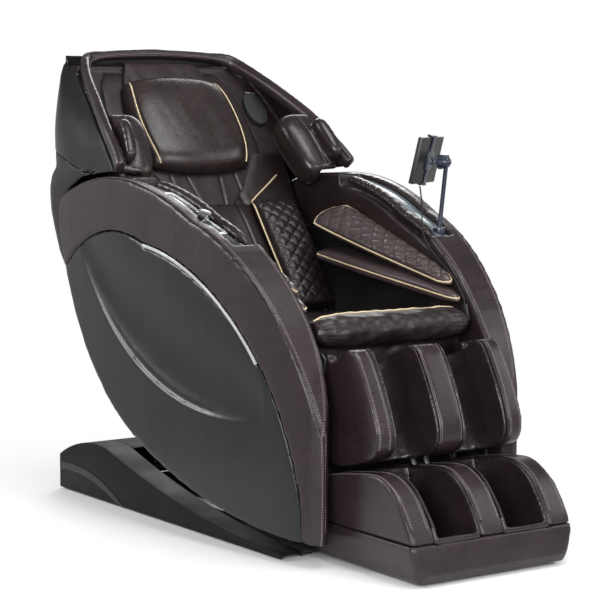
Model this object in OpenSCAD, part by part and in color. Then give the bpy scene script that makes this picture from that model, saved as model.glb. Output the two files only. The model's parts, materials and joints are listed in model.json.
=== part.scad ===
// Full-body massage chair: a tilting seat with arms on a sliding carriage, a reclining hooded back
// with a roller massage unit, and a lifting calf rest with an extending foot rest.
// Millimetres, +Z up. The sitter faces -Y, the sitter's left is +X.
// The origin is on the floor, midway between the arms and midway between toe and hood.

/* [Overall] */
// Width over the arms at their widest
arms_w = 840; // [820:1:880]
// Distance from the origin to the toe of the foot rest
toe_reach = 825; // [815:1:850]
// Distance from the origin to the rear of the hood
hood_reach = 825; // [800:1:860]
// Height of the top of the hood
hood_top = 1306; // [1290:1:1340]

/* [Base] */
// Distance from the widest line of the arms in to each side cover
base_inset = 64; // [55:1:75]
// How far each side cover draws in towards its front tip
base_taper = 15; // [10:1:20]
// Front tips of the side covers
base_front_y = -392; // [-396:1:-380]
// Rear face of the rear cover
base_rear_y = 765; // [755:1:780]
// Height of the rear hump of the covers
base_h = 160; // [150:1:164]
// Front face of the rear cover
rear_cover_y = 470; // [460:1:490]
// Wall of the plastic covers
cover_wall = 4; // [3:0.5:5]
// Gap between floor and base plate, filled by the rubber feet
feet_h = 8; // [6:1:10]
// Thickness of the steel base plate
plate_t = 6; // [4:1:8]
// From the edge of the carriage in to the middle of a rail
rail_inset = 34; // [30:1:40]
// Width of a slide rail
rail_w = 40; // [36:1:44]
// Height of a slide rail
rail_h = 20; // [18:1:24]
// Radius of the transport wheels
wheel_r = 34; // [30:1:38]
// Width of a transport wheel
wheel_w = 26; // [20:1:32]
// Radius of the wheel axle
axle_r = 6; // [5:0.5:8]

/* [Pivots] */
// Distance of the tilt pivot behind the origin (negative is in front)
tilt_y = -340; // [-345:1:-330]
// Height of the tilt pivot
tilt_z = 112; // [106:1:120]
// Distance of the leg rest pivot behind the origin
calf_y = -425; // [-428:1:-420]
// Height of the leg rest pivot
calf_z = 500; // [496:1:502]
// Distance of the recline pivot behind the origin
recline_y = 437; // [430:1:445]
// Height of the recline pivot
recline_z = 505; // [500:1:512]
// Radius of the main pivot pins
pin_r = 10; // [8:1:12]
// Radial clearance of the running fits
run_gap = 0.05; // [0.02:0.01:0.09]
// Clearance between neighbouring pieces
gap = 0.4; // [0.3:0.1:0.8]

/* [Seat] */
// Room between the seat frame and each arm at the front
arm_play = 11; // [10:1:13]
// Thickness of the steel side plates
side_t = 6; // [5:1:8]
// Top of the seat pan
pan_z = 444; // [440:1:448]
// Thickness of the seat pan
pan_t = 14; // [10:1:16]
// Radius of the cross tubes
tube_r = 15; // [12:1:16]
// Depth of the seat cushion
cushion_d = 500; // [480:1:510]
// Height of the seat cushion at its crown
cushion_h = 126; // [115:1:130]
// Room at each end of the seat roll
roll_play = 10; // [8:1:14]
// Radius of the front roll
roll_r = 42; // [38:1:44]

/* [Arms] */
// How much narrower the pair of arms is at its front end
arms_front_taper = 164; // [158:1:170]
// How much narrower the pair of arms is at its rear end
arms_rear_taper = 32; // [26:1:40]
// Thickness of an arm at its front end
arm_front_t = 85; // [83:1:86]
// Thickness of an arm at its rear end
arm_rear_t = 74; // [70:1:78]
// Front of the arms
arm_front_y = -532; // [-536:1:-526]
// Rear of the arms
arm_rear_y = 666; // [660:1:670]
// Height of the arms' crest
arm_top = 938; // [930:1:940]
// Height of the arms' lower front corner
arm_foot = 58; // [54:1:64]
// Height of the leather band above the side panel at the crest
band_top_w = 145; // [135:1:155]
// Width of the leather band at its front foot
band_foot_w = 47; // [42:1:56]
// Thickness of the gloss side panel
panel_t = 12; // [8:1:16]
// Width of the light strip
strip_w = 9; // [7:1:11]
// Thickness of the light strip
strip_t = 6; // [4:1:8]
// Thickness of the arm tray and console
tray_t = 22; // [18:1:26]
// Width of the leather edge outside the tray
tray_edge_w = 40; // [36:1:46]
// Width of the inner edge left for the bolster
bolster_w = 44; // [40:1:48]

/* [Controls] */
// Radius of the rotary knob
knob_r = 17; // [14:1:18]
// Height of the rotary knob
knob_h = 18; // [14:1:22]
// Width of the tablet controller
tablet_w = 200; // [180:1:210]
// Height of the tablet controller
tablet_h = 128; // [118:1:138]
// Thickness of the tablet controller
tablet_t = 12; // [9:1:14]
// Radius of the stand's round foot
foot_r = 17; // [14:1:17]
// Length of the stand's post
post_l = 182; // [150:1:200]
// Radius of the stand's post
post_r = 6; // [5:0.5:8]
// Radius of the ball on the post
ball_r = 14; // [12:1:16]
// Radius of the controller's lead
lead_r = 2; // [1.5:0.25:2.5]

/* [Back] */
// Lean of the back pad from the vertical, in degrees
lean = 38; // [36:0.5:40]
// Length of the back pad
back_l = 780; // [760:1:800]
// Distance from the side of the seat frame in to the edge of the head panel
back_inset = 42; // [38:1:50]
// Width of the centre panel between the lumbar pads
spine_w = 190; // [180:1:200]
// Thickness of the back pad
back_t = 75; // [70:1:78]
// Wall of the hood shell
shell_t = 8; // [6:1:10]
// Distance from the widest line of the arms in to the hood's rim at its wing tips
wing_inset = 28; // [24:1:34]
// Distance from the edge of the head panel in to the pillow
pillow_inset = 14; // [8:1:20]
// Height of the pillow
pillow_h = 345; // [330:1:352]
// Thickness of the pillow
pillow_t = 62; // [54:1:66]
// Distance between the massage rails
track_w = 250; // [240:1:260]
// Radius of the massage rollers
roller_r = 34; // [30:1:38]
// Width of a massage roller
roller_w = 34; // [28:1:38]

/* [Leg rest] */
// Room between the calf rest and the seat frame at each side
calf_play = 6; // [5:1:10]
// Room between the foot rest and each arm
foot_play = 2; // [2:0.5:6]
// Width of a calf or foot channel
channel_w = 122; // [114:1:128]
// Width of the wall between the channels
centre_w = 92; // [88:1:100]
// Lean of the leg rest from the vertical, in degrees
leg_lean = 30; // [28:0.5:32]
// Height of the foot rest's lower tray
skirt_h = 93; // [88:1:98]
// Height of the foot rest over its walls
foot_h = 238; // [230:1:240]
// Gap between floor and foot rest
foot_clear = 8; // [6:1:12]
// Radius of the slide rods of the foot rest
rod_r = 9; // [7:1:11]
// Travel of the foot rest along its rods
foot_travel = 80; // [70:1:85]

/* [Hidden] */
$fn = 48;
eps = 0.01;

leather = "#3b2d2b";
gloss = "#2a2d2e";
steel = "#6b7075";
black = "#1b1c1e";
cream = "#c9b491";
arms_front_w = arms_w - arms_front_taper;
arms_rear_w = arms_w - arms_rear_taper;
gap_front_w = arms_front_w - 2*arm_front_t;
gap_rear_w = arms_rear_w - 2*arm_rear_t;
seat_frame_w = gap_front_w - 2*arm_play;
carriage_w = seat_frame_w - 24;
rail_x = carriage_w/2 - rail_inset;
base_w = arms_w - 2*base_inset;
base_front_w = base_w - 2*base_taper;
side_in = base_w/2 - 84;
roll_l = gap_front_w - 2*roll_play;
wing_w = arms_w/2 - wing_inset;
back_w = seat_frame_w - 2*back_inset;
pillow_w = back_w - 2*pillow_inset;
calf_w = seat_frame_w - 2*side_t - 2*calf_play;
foot_w = gap_front_w - 2*foot_play;

// ---- geometry helpers ----

// Circle [y, z, radius] through three points
function circle3(a, b, c) =
  let (d = 2 * (a[0]*(b[1]-c[1]) + b[0]*(c[1]-a[1]) + c[0]*(a[1]-b[1])),
       p = (a*a*(b[1]-c[1]) + b*b*(c[1]-a[1]) + c*c*(a[1]-b[1])) / d,
       q = (a*a*(c[0]-b[0]) + b*b*(a[0]-c[0]) + c*c*(b[0]-a[0])) / d)
  [p, q, norm([a[0]-p, a[1]-q])];
// Points on the arc from a through b to c, n steps
function arc3(a, b, c, n = 14) =
  let (o = circle3(a, b, c), m = [o[0], o[1]],
       ta = atan2(a[1]-m[1], a[0]-m[0]),
       up = cross(b - a, c - b) > 0,
       raw = atan2(c[1]-m[1], c[0]-m[0]) - ta,
       sweep = up ? (raw < 0 ? raw + 360 : raw) : (raw > 0 ? raw - 360 : raw))
  [for (i = [0:n]) m + o[2] * [cos(ta + sweep*i/n), sin(ta + sweep*i/n)]];
function mix(a, b, t) = a + (b - a) * t;
// Smooth 0..1 step
function ease(t) = let (s = max(0, min(1, t))) s*s*(3 - 2*s);
// Catmull-Rom curve through points p, n steps a span
function spline(p, n = 4) = let (m = len(p) - 1)
  [for (i = [0:m-1]) for (j = [0:n-1])
     let (t = j/n, a = p[max(i-1, 0)], b = p[i], c = p[i+1], d = p[min(i+2, m)])
     0.5 * ((2*b) + (c-a)*t + (2*a - 5*b + 4*c - d)*t*t + (3*b - a - 3*c + d)*t*t*t),
   p[m]];

// Prism of an outline in the YZ plane, from x0 to x1
module side_prism(outline, x0, x1)
  translate([x0, 0, 0]) rotate([90, 0, 90]) linear_extrude(x1 - x0) polygon(outline);
// The same piece on both sides of the chair
module both() { children(); mirror([1, 0, 0]) children(); }
// Cylinder along X about a point in the YZ plane, from x0 to x1
module x_rod(p, r, x0, x1) translate([x0, p[0], p[1]]) rotate([0, 90, 0]) cylinder(r = r, h = x1 - x0);
// Faces across a ring of n points whose second half mirrors the first
function rungs(n) = [for (j = [0:(n-3)/2]) j + 1 == n - 2 - j ? [j, j+1, n-1-j] : [j, j+1, n-2-j, n-1-j]];
// Closed skin over rings of equal length, each ring turning left about the way the rings go
module skin(rings, mirrored = false) {
  n = len(rings[0]);
  m = len(rings);
  cap = mirrored ? rungs(n) : [[for (j = [0:n-1]) j]];
  polyhedron([for (r = rings) each r], concat(
    [for (i = [0:m-2]) for (j = [0:n-1]) [i*n + j, (i+1)*n + (j+1)%n, i*n + (j+1)%n]],
    [for (i = [0:m-2]) for (j = [0:n-1]) [i*n + j, (i+1)*n + j, (i+1)*n + (j+1)%n]],
    cap, [for (f = cap) [for (j = [len(f)-1:-1:0]) (m-1)*n + f[j]]]));
}
// Rings of a tube of n sides along path p, with half widths ru sideways and rv upwards
function tube_rings(p, ru, rv, n) = [for (i = [0:len(p)-1])
  let (t = p[min(i+1, len(p)-1)] - p[max(i-1, 0)], d = t / norm(t),
       s = cross(d, [0, 0, 1]), u = norm(s) < 0.01 ? [1, 0, 0] : s / norm(s), v = cross(d, u))
  [for (j = [0:n-1]) p[i] + ru[i]*cos(360*j/n)*u + rv[i]*sin(360*j/n)*v]];
// Upholstered cushion on the XY plane: w by d, a crowned top of height top over the seam, sides
// drawn in to the flat bottom low under it. tuft lowers every second point of the grid, channels
// is a list of [place across from -1 to 1, depth] and taper widens the far end.
module cushion(w, d, top, low, nu = 10, nv = 10, round = 0.35, tuft = 0, channels = [], taper = 0) {
  draw = 0.94;
  function along(i, n) = sin(90 * (2*i/n - 1));
  function full(s) = sqrt(max(0, 1 - pow(abs(s), 5)));
  function flat(u, v) = [w/2 * u * (1 + taper*v) * sqrt(1 - round*v*v/2), d/2 * v * sqrt(1 - round*u*u/2)];
  function dip(u) = len(channels) == 0 ? 0 : max([for (c = channels) c[1]*exp(-pow((u - c[0])/0.09, 2))]);
  function grid(i, j) = let (u = along(i, nu), v = along(j, nv), p = flat(u, v), f = full(u)*full(v))
    [p[0], p[1], f * (top - dip(u) - tuft * ((i + j) % 2)) + top*0.12*(1-u*u)*(1-v*v)];
  function id(i, j) = i*(nv + 1) + j;
  rim = concat([for (i = [0:nu-1]) id(i, 0)], [for (j = [0:nv-1]) id(nu, j)],
               [for (i = [nu:-1:1]) id(i, nv)], [for (j = [nv:-1:1]) id(0, j)]);
  pts = [for (i = [0:nu]) for (j = [0:nv]) grid(i, j)];
  base = [for (k = rim) [pts[k][0]*draw, pts[k][1]*draw, -low]];
  b0 = len(pts);
  m = len(rim);
  translate([0, 0, low]) polyhedron(concat(pts, base), concat(
    [for (i = [0:nu-1]) for (j = [0:nv-1]) [id(i, j), id(i+1, j+1), id(i+1, j)]],
    [for (i = [0:nu-1]) for (j = [0:nv-1]) [id(i, j), id(i, j+1), id(i+1, j+1)]],
    [for (k = [0:m-1]) [rim[k], rim[(k+1)%m], b0 + (k+1)%m]],
    [for (k = [0:m-1]) [rim[k], b0 + (k+1)%m, b0 + k]],
    [[for (k = [0:m-1]) b0 + k]]));
}

// ---- base ----

base_top = plate_t + feet_h;
rail_top = base_top + rail_h;
shoe_gap = 0.5;
carriage_z = rail_top + 8;
carriage_rear = 60;
cover_bottom = 5;
wheel_y = base_rear_y - wheel_r - 8;
wheel_z = wheel_r + 4;
bracket_x = side_in - 122;
function covers_outline(inset) = let (h = base_h - inset, r = base_rear_y - inset)
  concat([[r, cover_bottom], [r, h - 56]],
    arc3([r, h - 56], [r - 100, h - 14], [r - 265, h], 8),
    arc3([r - 275, h], [213, h - 70], [base_front_y, h - 143], 14), [[base_front_y, cover_bottom]]);

// Pan that carries the rails, covers, wheel brackets and feet
module base_plate() color(steel) difference() {
  union() {
    translate([-side_in, base_front_y + 10, feet_h]) cube([2*side_in, base_rear_y - base_front_y - 20, plate_t]);
    both() translate([bracket_x, wheel_y - 16, base_top - eps]) cube([8, 32, wheel_z + 12 - base_top]);
  }
  x_rod([wheel_y, wheel_z], axle_r + run_gap, -bracket_x - 20, bracket_x + 20);
  for (s = [-1, 1]) translate([s*(side_in - 34) - 26, wheel_y - wheel_r - 6, 0])
    cube([52, 2*wheel_r + 12, base_top + 1]);
}
// Two bars that guide the carriage
module base_rails() color(steel) both()
  translate([rail_x - rail_w/2, base_front_y + 14, base_top]) cube([rail_w, 800, rail_h]);
// Runner-shaped cover on one side: an outer wall on a foot along the floor plate
module base_side() color(gloss) intersection() {
  difference() {
    side_prism(covers_outline(0), side_in, base_w/2);
    side_prism([for (p = covers_outline(cover_wall)) [p[0], p[1] < 6 ? -1 : p[1]]],
      side_in + cover_wall, base_front_w/2 - 2*cover_wall);
  }
  linear_extrude(base_h + 10) polygon([[0, base_front_y - 1], [base_front_w/2, base_front_y - 1],
    [base_w/2, base_rear_y + 1], [0, base_rear_y + 1]]);
}
inlet_z = 62;
inlet_w = 60;
inlet_h = 40;
switch_x = 16;
// Cover over the rear of the base between the side covers
module base_rear_cover() color(gloss) difference() {
  intersection() {
    side_prism(covers_outline(0), -side_in, side_in);
    translate([-side_in, rear_cover_y, base_top]) cube([2*side_in, 400, base_h]);
  }
  intersection() {
    side_prism(covers_outline(cover_wall), -side_in + cover_wall, side_in - cover_wall);
    translate([-side_in, rear_cover_y - 1, 0]) cube([2*side_in, 400, base_h]);
  }
  translate([0, base_rear_y - 20, inlet_z]) cube([inlet_w + 2*gap, 60, inlet_h + 2*gap], center = true);
  for (s = [-1, 1]) translate([s*(side_in - 34) - 26, base_rear_y - 70, 0]) cube([52, 80, 76]);
}
// Light arc let into the outside of each side cover
module base_accents() color("#55606a") both() {
  inner = arc3([base_rear_y - 14, 60], [590, 56], [420, cover_bottom + 2], 10);
  outer = arc3([base_rear_y - 14, 82], [590, 78], [392, cover_bottom + 2], 10);
  intersection() {
    side_prism(concat(inner, [for (i = [10:-1:0]) outer[i]]), base_w/2 - 20, base_w/2 + 10);
    linear_extrude(base_h) polygon([[base_front_w/2 + gap/4, base_front_y], [base_w/2 + gap/4, base_rear_y],
      [base_w/2 + 2, base_rear_y], [base_front_w/2 + 2, base_front_y]]);
  }
}
// Rubber feet under the corners of the base plate
module base_feet() color(black) for (x = [40 - side_in, side_in - 40], y = [base_front_y + 50, base_rear_y - 130])
  translate([x, y, 0]) cylinder(r = 20, h = feet_h);
// Axle of the transport wheels, turning in the brackets
module wheel_axle() color(steel) x_rod([wheel_y, wheel_z], axle_r, -side_in + 20, side_in - 20);
// Transport wheels pressed on the ends of the axle
module transport_wheels() color(black) both() difference() {
  x_rod([wheel_y, wheel_z], wheel_r, side_in - 34 - wheel_w/2, side_in - 34 + wheel_w/2);
  x_rod([wheel_y, wheel_z], axle_r, 0, side_in);
}
// Plate with the mains inlet in the rear cover
module power_inlet() color(black) difference() {
  translate([0, base_rear_y - 5, inlet_z]) cube([inlet_w, 8, inlet_h], center = true);
  translate([-14, base_rear_y, inlet_z]) cube([26, 30, 18], center = true);
  translate([switch_x, base_rear_y, inlet_z]) cube([15, 30, 23], center = true);
}
// Rocker switch beside the inlet
module power_switch() color("#8c1d18") {
  translate([switch_x, base_rear_y - 6, inlet_z]) cube([14, 7, 20], center = true);
  x_rod([base_rear_y - 9, inlet_z], 4, switch_x - 7, switch_x + 7);
}

// ---- carriage ----

ear_x = seat_frame_w/2 - side_t - 6;
// Plate on four grooved shoes that slide on the rails, with two ears for the tilt pivot
module carriage() color(steel) difference() {
  union() {
    translate([-carriage_w/2, tilt_y - 34, carriage_z]) cube([carriage_w, carriage_rear - tilt_y + 34, 6]);
    both() {
      for (y = [tilt_y - 30, carriage_rear - 80]) translate([rail_x - rail_w/2 - 8, y, base_top + 6])
        cube([rail_w + 16, 80, carriage_z - base_top - 6 + eps]);
      hull() {
        x_rod([tilt_y, tilt_z], 24, ear_x - 6, ear_x);
        translate([ear_x - 6, tilt_y - 34, carriage_z]) cube([6, 110, 6]);
      }
    }
  }
  both() translate([rail_x - rail_w/2 - shoe_gap, tilt_y - 60, 0])
    cube([rail_w + 2*shoe_gap, 600, rail_top + shoe_gap]);
  x_rod([tilt_y, tilt_z], pin_r + run_gap, -carriage_w, carriage_w);
}

// ---- seat frame ----

side_x = seat_frame_w/2;
back_x = side_x - side_t - 6;
pan_front = tilt_y + 18;
pan_rear = recline_y - 70;
seat_outline = [[tilt_y - 28, tilt_z - 26], [tilt_y + 30, tilt_z - 27], [0, 176], [200, 262], [375, 374],
  [recline_y + 27, recline_z - 50], [recline_y + 34, recline_z + 14], [recline_y + 10, recline_z + 36],
  [recline_y - 24, recline_z + 30], [recline_y - 90, pan_z - 6], [pan_front, pan_z - 6],
  [calf_y + 60, calf_z - 10], [calf_y + 16, calf_z + 18], [calf_y - 4, calf_z + 20],
  [calf_y - 20, calf_z + 8], [calf_y - 18, calf_z - 18], [tilt_y - 28, 330]];
tubes = [[pan_front + 40, pan_z - pan_t - tube_r], [20, pan_z - pan_t - tube_r],
  [pan_rear - 40, pan_z - pan_t - tube_r]];
// Steel side plates of the seat, drilled for the pivots and the cross tubes
module seat_sides() color(steel) both() difference() {
  side_prism(seat_outline, side_x - side_t, side_x);
  for (p = [[tilt_y, tilt_z], [calf_y, calf_z], [recline_y, recline_z]])
    x_rod(p, pin_r, side_x - 2*side_t, side_x + 1);
  for (p = tubes) x_rod(p, tube_r, side_x - 2*side_t, side_x + 1);
}
// Cross tubes through the side plates that reach into the arms
module seat_tubes() color(steel) for (p = tubes) x_rod(p, tube_r, -in_x(p[0]) - 30, in_x(p[0]) + 30);
// Board under the seat cushion, resting on the cross tubes
module seat_pan() color("#8a6f4d") translate([-side_x + side_t, pan_front, pan_z - pan_t])
  cube([2*(side_x - side_t), pan_rear - pan_front, pan_t]);
// Pins fixed in the side plates for the carriage ears, the leg rest and the back frame
module pivot_pins() color(steel) both() {
  x_rod([tilt_y, tilt_z], pin_r, ear_x - 12, side_x);
  x_rod([calf_y, calf_z], pin_r, calf_w/2 - 30, side_x);
  x_rod([recline_y, recline_z], pin_r, back_x - 16, side_x);
}
cushion_front = pan_front - 20;
cushion_y = cushion_front + cushion_d/2;
cushion_seam = cushion_h - 76;
// Seat cushion with a crown and two channels from front to rear, between the arms
module seat_cushion() color(leather) translate([0, cushion_y, pan_z])
  cushion(2*in_x(cushion_front) - 8, cushion_d, cushion_h - cushion_seam - 10, cushion_seam, 12, 10, 0.12, 0,
    [[-0.42, 12], [0.42, 12]]);
// Gathered leather roll along the front of the cushion
module seat_roll() color(leather) {
  n = 14;
  steps = 24;
  skin([for (i = [0:steps]) let (s = 2*i/steps - 1, end = sqrt(1 - pow(abs(s), 8)*0.75),
      r = roll_r * end * (1 + 0.025*cos(i*180)))
    [for (j = [0:n-1]) [s*roll_l/2, roll_y + 1.15*r*cos(360*j/n), roll_z + r*1.02*sin(360*j/n)]]]);
  translate([-roll_block_w/2, roll_y + 8, pan_z + 18])
    cube([roll_block_w, cushion_front - roll_y - 8, roll_z - pan_z - 18]);
}
// Foam block that carries the roll between the side plates
roll_block_w = 2*(side_x - side_t) - 2*gap;
roll_y = cushion_front - 1.15*1.025*roll_r - gap;
roll_z = pan_z + 123;

// ---- arms ----

widest_y = 200;
function arm_pt(along, up) = [mix(arm_front_y, arm_rear_y, along), mix(arm_foot, arm_top, up)];
rear_top = arm_pt(0.978, 0.927);
crest = arm_pt(0.7195, 1);
shoulder = arm_pt(0.394, 0.892);
front_mid = arm_pt(0.0835, 0.582);
foot_low = arm_pt(0, 0);
low_mid = arm_pt(0.277, 0.048);
low_rear = arm_pt(0.611, 0.202);
rear_mid = arm_pt(0.878, 0.502);
rear_high = arm_pt(1, 0.88);
function tail(l) = [for (i = [1:len(l)-1]) l[i]];
arm_outline = concat(arc3(rear_top, crest, shoulder, 16), tail(arc3(shoulder, front_mid, foot_low, 16)),
  tail(arc3(foot_low, low_mid, low_rear, 10)), tail(arc3(low_rear, rear_mid, rear_high, 12)));
top_circle = circle3(rear_top, crest, shoulder);
front_circle = circle3(shoulder, front_mid, foot_low);
rear_circle = circle3(low_rear, rear_mid, rear_high);
function on_top(c, y) = c[1] + sqrt(c[2]*c[2] - pow(y - c[0], 2));
// Height of the arm's top at y
function top_z(y) = y > shoulder[0] ? on_top(top_circle, y) : on_top(front_circle, y);
plan_circle = circle3([arms_rear_w/2, arm_rear_y], [arms_w/2, widest_y], [arms_front_w/2, arm_front_y]);
// Outer and inner faces of the left arm at y
function out_x(y) = plan_circle[0] + sqrt(pow(plan_circle[2], 2) - pow(y - plan_circle[1], 2));
function in_x(y) = mix(gap_front_w/2, gap_rear_w/2, (y - arm_front_y)/(arm_rear_y - arm_front_y));
nose_l = 132;
nose_in = 46;
nose_out = 28;
// Share of the rounding at the arm's front end, from 0 where it starts to 1 at the tip
function nose(y) = let (t = min(1, max(0, (arm_front_y + nose_l - y)/nose_l))) 1 - sqrt(1 - t*t);
function plan_rows(y0, y1) = concat([for (y = [arm_front_y + nose_l:-22:y0]) y], [y0]);
function plan(outer, inner, y0, y1) = concat(
  [for (i = [0:12]) let (y = mix(y1, arm_front_y + nose_l + 10, i/12)) [out_x(y) - outer, y]],
  [for (y = plan_rows(y0, y1)) [out_x(y) - nose_out*nose(y) - outer, y]],
  flip([for (y = plan_rows(y0, y1)) [in_x(y) + nose_in*nose(y) + inner, y]]), [[in_x(y1) + inner, y1]]);
function mid_plan(outer, inner, y0, y1) = concat(
  [for (i = [0:10]) let (y = mix(y0, y1, i/10)) [out_x(y) - outer, y]],
  [[in_x(y1) + inner, y1], [in_x(y0) + inner, y0]]);
// Part of the arm: an outline seen from the side, between faces moved in from the outside and inside
module arm_part(outline, outer, inner) intersection() {
  side_prism(outline, 100, arms_w/2 + 20);
  linear_extrude(1200) polygon(plan(outer, inner, arm_front_y, arm_rear_y + 4));
}
// Region under the band: from its upper curve down and back. grow moves the curve outwards.
panel_rear = [rear_circle[0] + sqrt(pow(rear_circle[2], 2) - pow(arm_top - 262 - rear_circle[1], 2)) - 8,
  arm_top - 262];
panel_crest = [arm_pt(0.691, 0)[0], arm_top - band_top_w];
panel_join = [arm_pt(0.569, 0)[0], arm_top - band_top_w - 26];
panel_mid = arm_pt(0.218, 0.582);
panel_foot = [arm_front_y + band_foot_w, arm_foot];
function panel_region(grow) =
  let (a = arc3(panel_rear + [0, grow], panel_crest + [0, grow], panel_join + [-0.2, 1]*grow, 12),
       b = arc3(panel_join + [-0.2, 1]*grow, panel_mid + [-0.78, 0.62]*grow, panel_foot + [-1, 0]*grow, 16))
  concat([[arm_rear_y + 60, panel_rear[1] + grow]], a, tail(b),
    [[panel_foot[0] - grow, 0], [arm_rear_y + 60, 0]]);
tray_y0 = -205;
tray_y1 = 262;
tray_drop = 14;
function tray_line(d, n = 12) = [for (i = [0:n]) let (y = mix(tray_y0, tray_y1, i/n)) [y, top_z(y) - d]];
function flip(l) = [for (i = [len(l)-1:-1:0]) l[i]];
tray_pocket = concat(tray_line(tray_drop + tray_t), [[tray_y1, arm_top + 60], [tray_y0, arm_top + 60]]);

// Part of the arm under the band
module under_band(outer, inner) intersection() {
  translate([100, 0, 0]) rotate([90, 0, 90]) linear_extrude(arms_w/2 - 80) intersection() {
    polygon(arm_outline);
    polygon(panel_region(0));
  }
  linear_extrude(1200) polygon(plan(outer, inner, arm_front_y, arm_rear_y + 4));
}
// Structural core that fills the arm behind the side panel
module arm_core() color(leather) difference() {
  under_band(panel_t + gap, 0);
  for (p = tubes) x_rod(p, tube_r, 0, in_x(p[0]) + 30);
}
// Foam band in leather round the front and top of the arm, with a pocket for the tray
module arm_band() color(leather) difference() {
  arm_part(arm_outline, 0, 0);
  side_prism(panel_region(gap), 0, 500);
  intersection() {
    side_prism(tray_pocket, 0, 500);
    linear_extrude(1200) polygon(mid_plan(tray_edge_w, -60, tray_y0 - 40, tray_y1 + 40));
  }
}
function strip_outline(out, in) =
  let (a = arc3(panel_join, panel_mid, panel_foot, 40), n = 22, o = circle3(panel_join, panel_mid, panel_foot))
  concat([for (i = [0:n]) a[i] + unit(a[i] - [o[0], o[1]])*out],
    [for (i = [n:-1:0]) a[i] - unit(a[i] - [o[0], o[1]])*(strip_w + in)]);
function unit(v) = v / norm(v);
// Gloss shell on the outside of the arm, with the swept crease and the groove of the light strip
module side_panel() color(gloss) difference() {
  under_band(0, 0);
  translate([0, 0, -1]) linear_extrude(1200) polygon(plan(panel_t, -200, arm_front_y - 5, arm_rear_y + 10));
  side_prism(strip_outline(5, gap), 0, 500);
  crease_top = arc3([430, 640], [150, 440], [-300, 352], 14);
  crease_low = arc3([430, 640], [120, 412], [-300, 352], 14);
  intersection() {
    side_prism(concat(crease_top, tail(flip(tail(crease_low)))), 0, 500);
    linear_extrude(1200) polygon(concat([for (i = [0:12]) let (y = mix(-320, 450, i/12)) [out_x(y) - 4, y]],
      [[600, 450], [600, -320]]));
  }
}
// Bright strip let in between the band and the panel
module light_strip() color("silver") difference() {
  arm_part(strip_outline(-gap, 0), -1, 0);
  arm_part(strip_outline(1, 1), strip_t, -200);
}
// Slate tray or console in the pocket of the arm
module tray() intersection() {
  side_prism(concat(tray_line(tray_drop + tray_t), flip(tray_line(tray_drop))), 0, 500);
  linear_extrude(1200) polygon(mid_plan(tray_edge_w + gap, bolster_w, tray_y0 + gap, tray_y1 - gap));
}
stand_y = -166;
function tray_x(y) = (out_x(y) - tray_edge_w + in_x(y) + bolster_w)/2;
function tray_z(y) = top_z(y) - tray_drop;
function tray_tilt(y) = atan2(top_z(y + 10) - top_z(y - 10), 20);
module arm_tray() color("#39434a") tray();
knob_y = -45;
// Console of the right arm with a raised bright frame and the hole of the knob
module arm_console() color(black) difference() {
  union() {
    mirror([1, 0, 0]) tray();
    translate([-tray_x(knob_y), knob_y, tray_z(knob_y)]) rotate([tray_tilt(knob_y), 0, 0])
      translate([0, 0, -4]) cylinder(r = knob_r + 2, h = 8);
  }
  translate([-tray_x(knob_y), knob_y, tray_z(knob_y)]) rotate([tray_tilt(knob_y), 0, 0])
    translate([0, 0, -12]) cylinder(r = 5 + run_gap, h = 40);
}
// Rotary knob on its spindle
module control_knob() color("silver") translate([-tray_x(knob_y), knob_y, tray_z(knob_y)])
  rotate([tray_tilt(knob_y), 0, 0]) {
    translate([0, 0, 4 + gap]) cylinder(r = knob_r, h = knob_h);
    translate([0, 0, -11]) cylinder(r = 5, h = 16);
  }
// Ruched roll along the inner edge of each arm beside the tray
module arm_bolster() color(leather) {
  n = 10;
  steps = 26;
  r = bolster_w/2 - 1;
  skin([for (i = [0:steps]) let (t = i/steps, y = mix(tray_y0 + r, tray_y1 - r, t), s = 2*t - 1,
      k = r * sqrt(1 - pow(abs(s), 12)*0.8) * (1 + 0.03*cos(180*i)), c = in_x(y) + bolster_w/2 - 0.5)
    [for (j = [0:n-1]) [c + k*cos(360*j/n), y, tray_z(y) - tray_t + gap + r*1.03 + k*sin(360*j/n)]]]);
}
arm_toe = atan2(gap_rear_w - gap_front_w, 2*(arm_rear_y - arm_front_y));
top_root = 5.1;
low_root = 1.4;
pad_w = 88;
pad_taper = 0.5;
// Long pad fixed to the arm's inner face, wider to the rear: its middle at y, z, pitched up to the
// rear and rolled down towards the sitter, its edge root inside the line of the arm
module forearm_pad(root, y, z, len, pitch, roll, rows, tuft)
  translate([in_x(y) - root, y, z]) rotate([0, 0, 2]) rotate([pitch, 0, 0]) rotate([0, -roll, 0])
    translate([-pad_w/2, 0, -14]) cushion(pad_w, len, 20, 14, 6, rows, 0.4, tuft, [], pad_taper);
module forearm_top() color(leather) forearm_pad(top_root, -54, 766, 576, 16.5, 24, 22, 6);
module forearm_low() color(leather) forearm_pad(low_root, -76, 675, 580, 9.5, 3, 10, 0);

// ---- tablet stand on the left tray ----

stand_x = tray_x(stand_y);
stand_z = tray_z(stand_y);
stand_foot_h = 12;
post_lean = 9;
ball = [stand_x, stand_y - post_l*sin(post_lean), stand_z + stand_foot_h + post_l*cos(post_lean)];
screen_turn = 35;
screen_tilt = 13;
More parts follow.
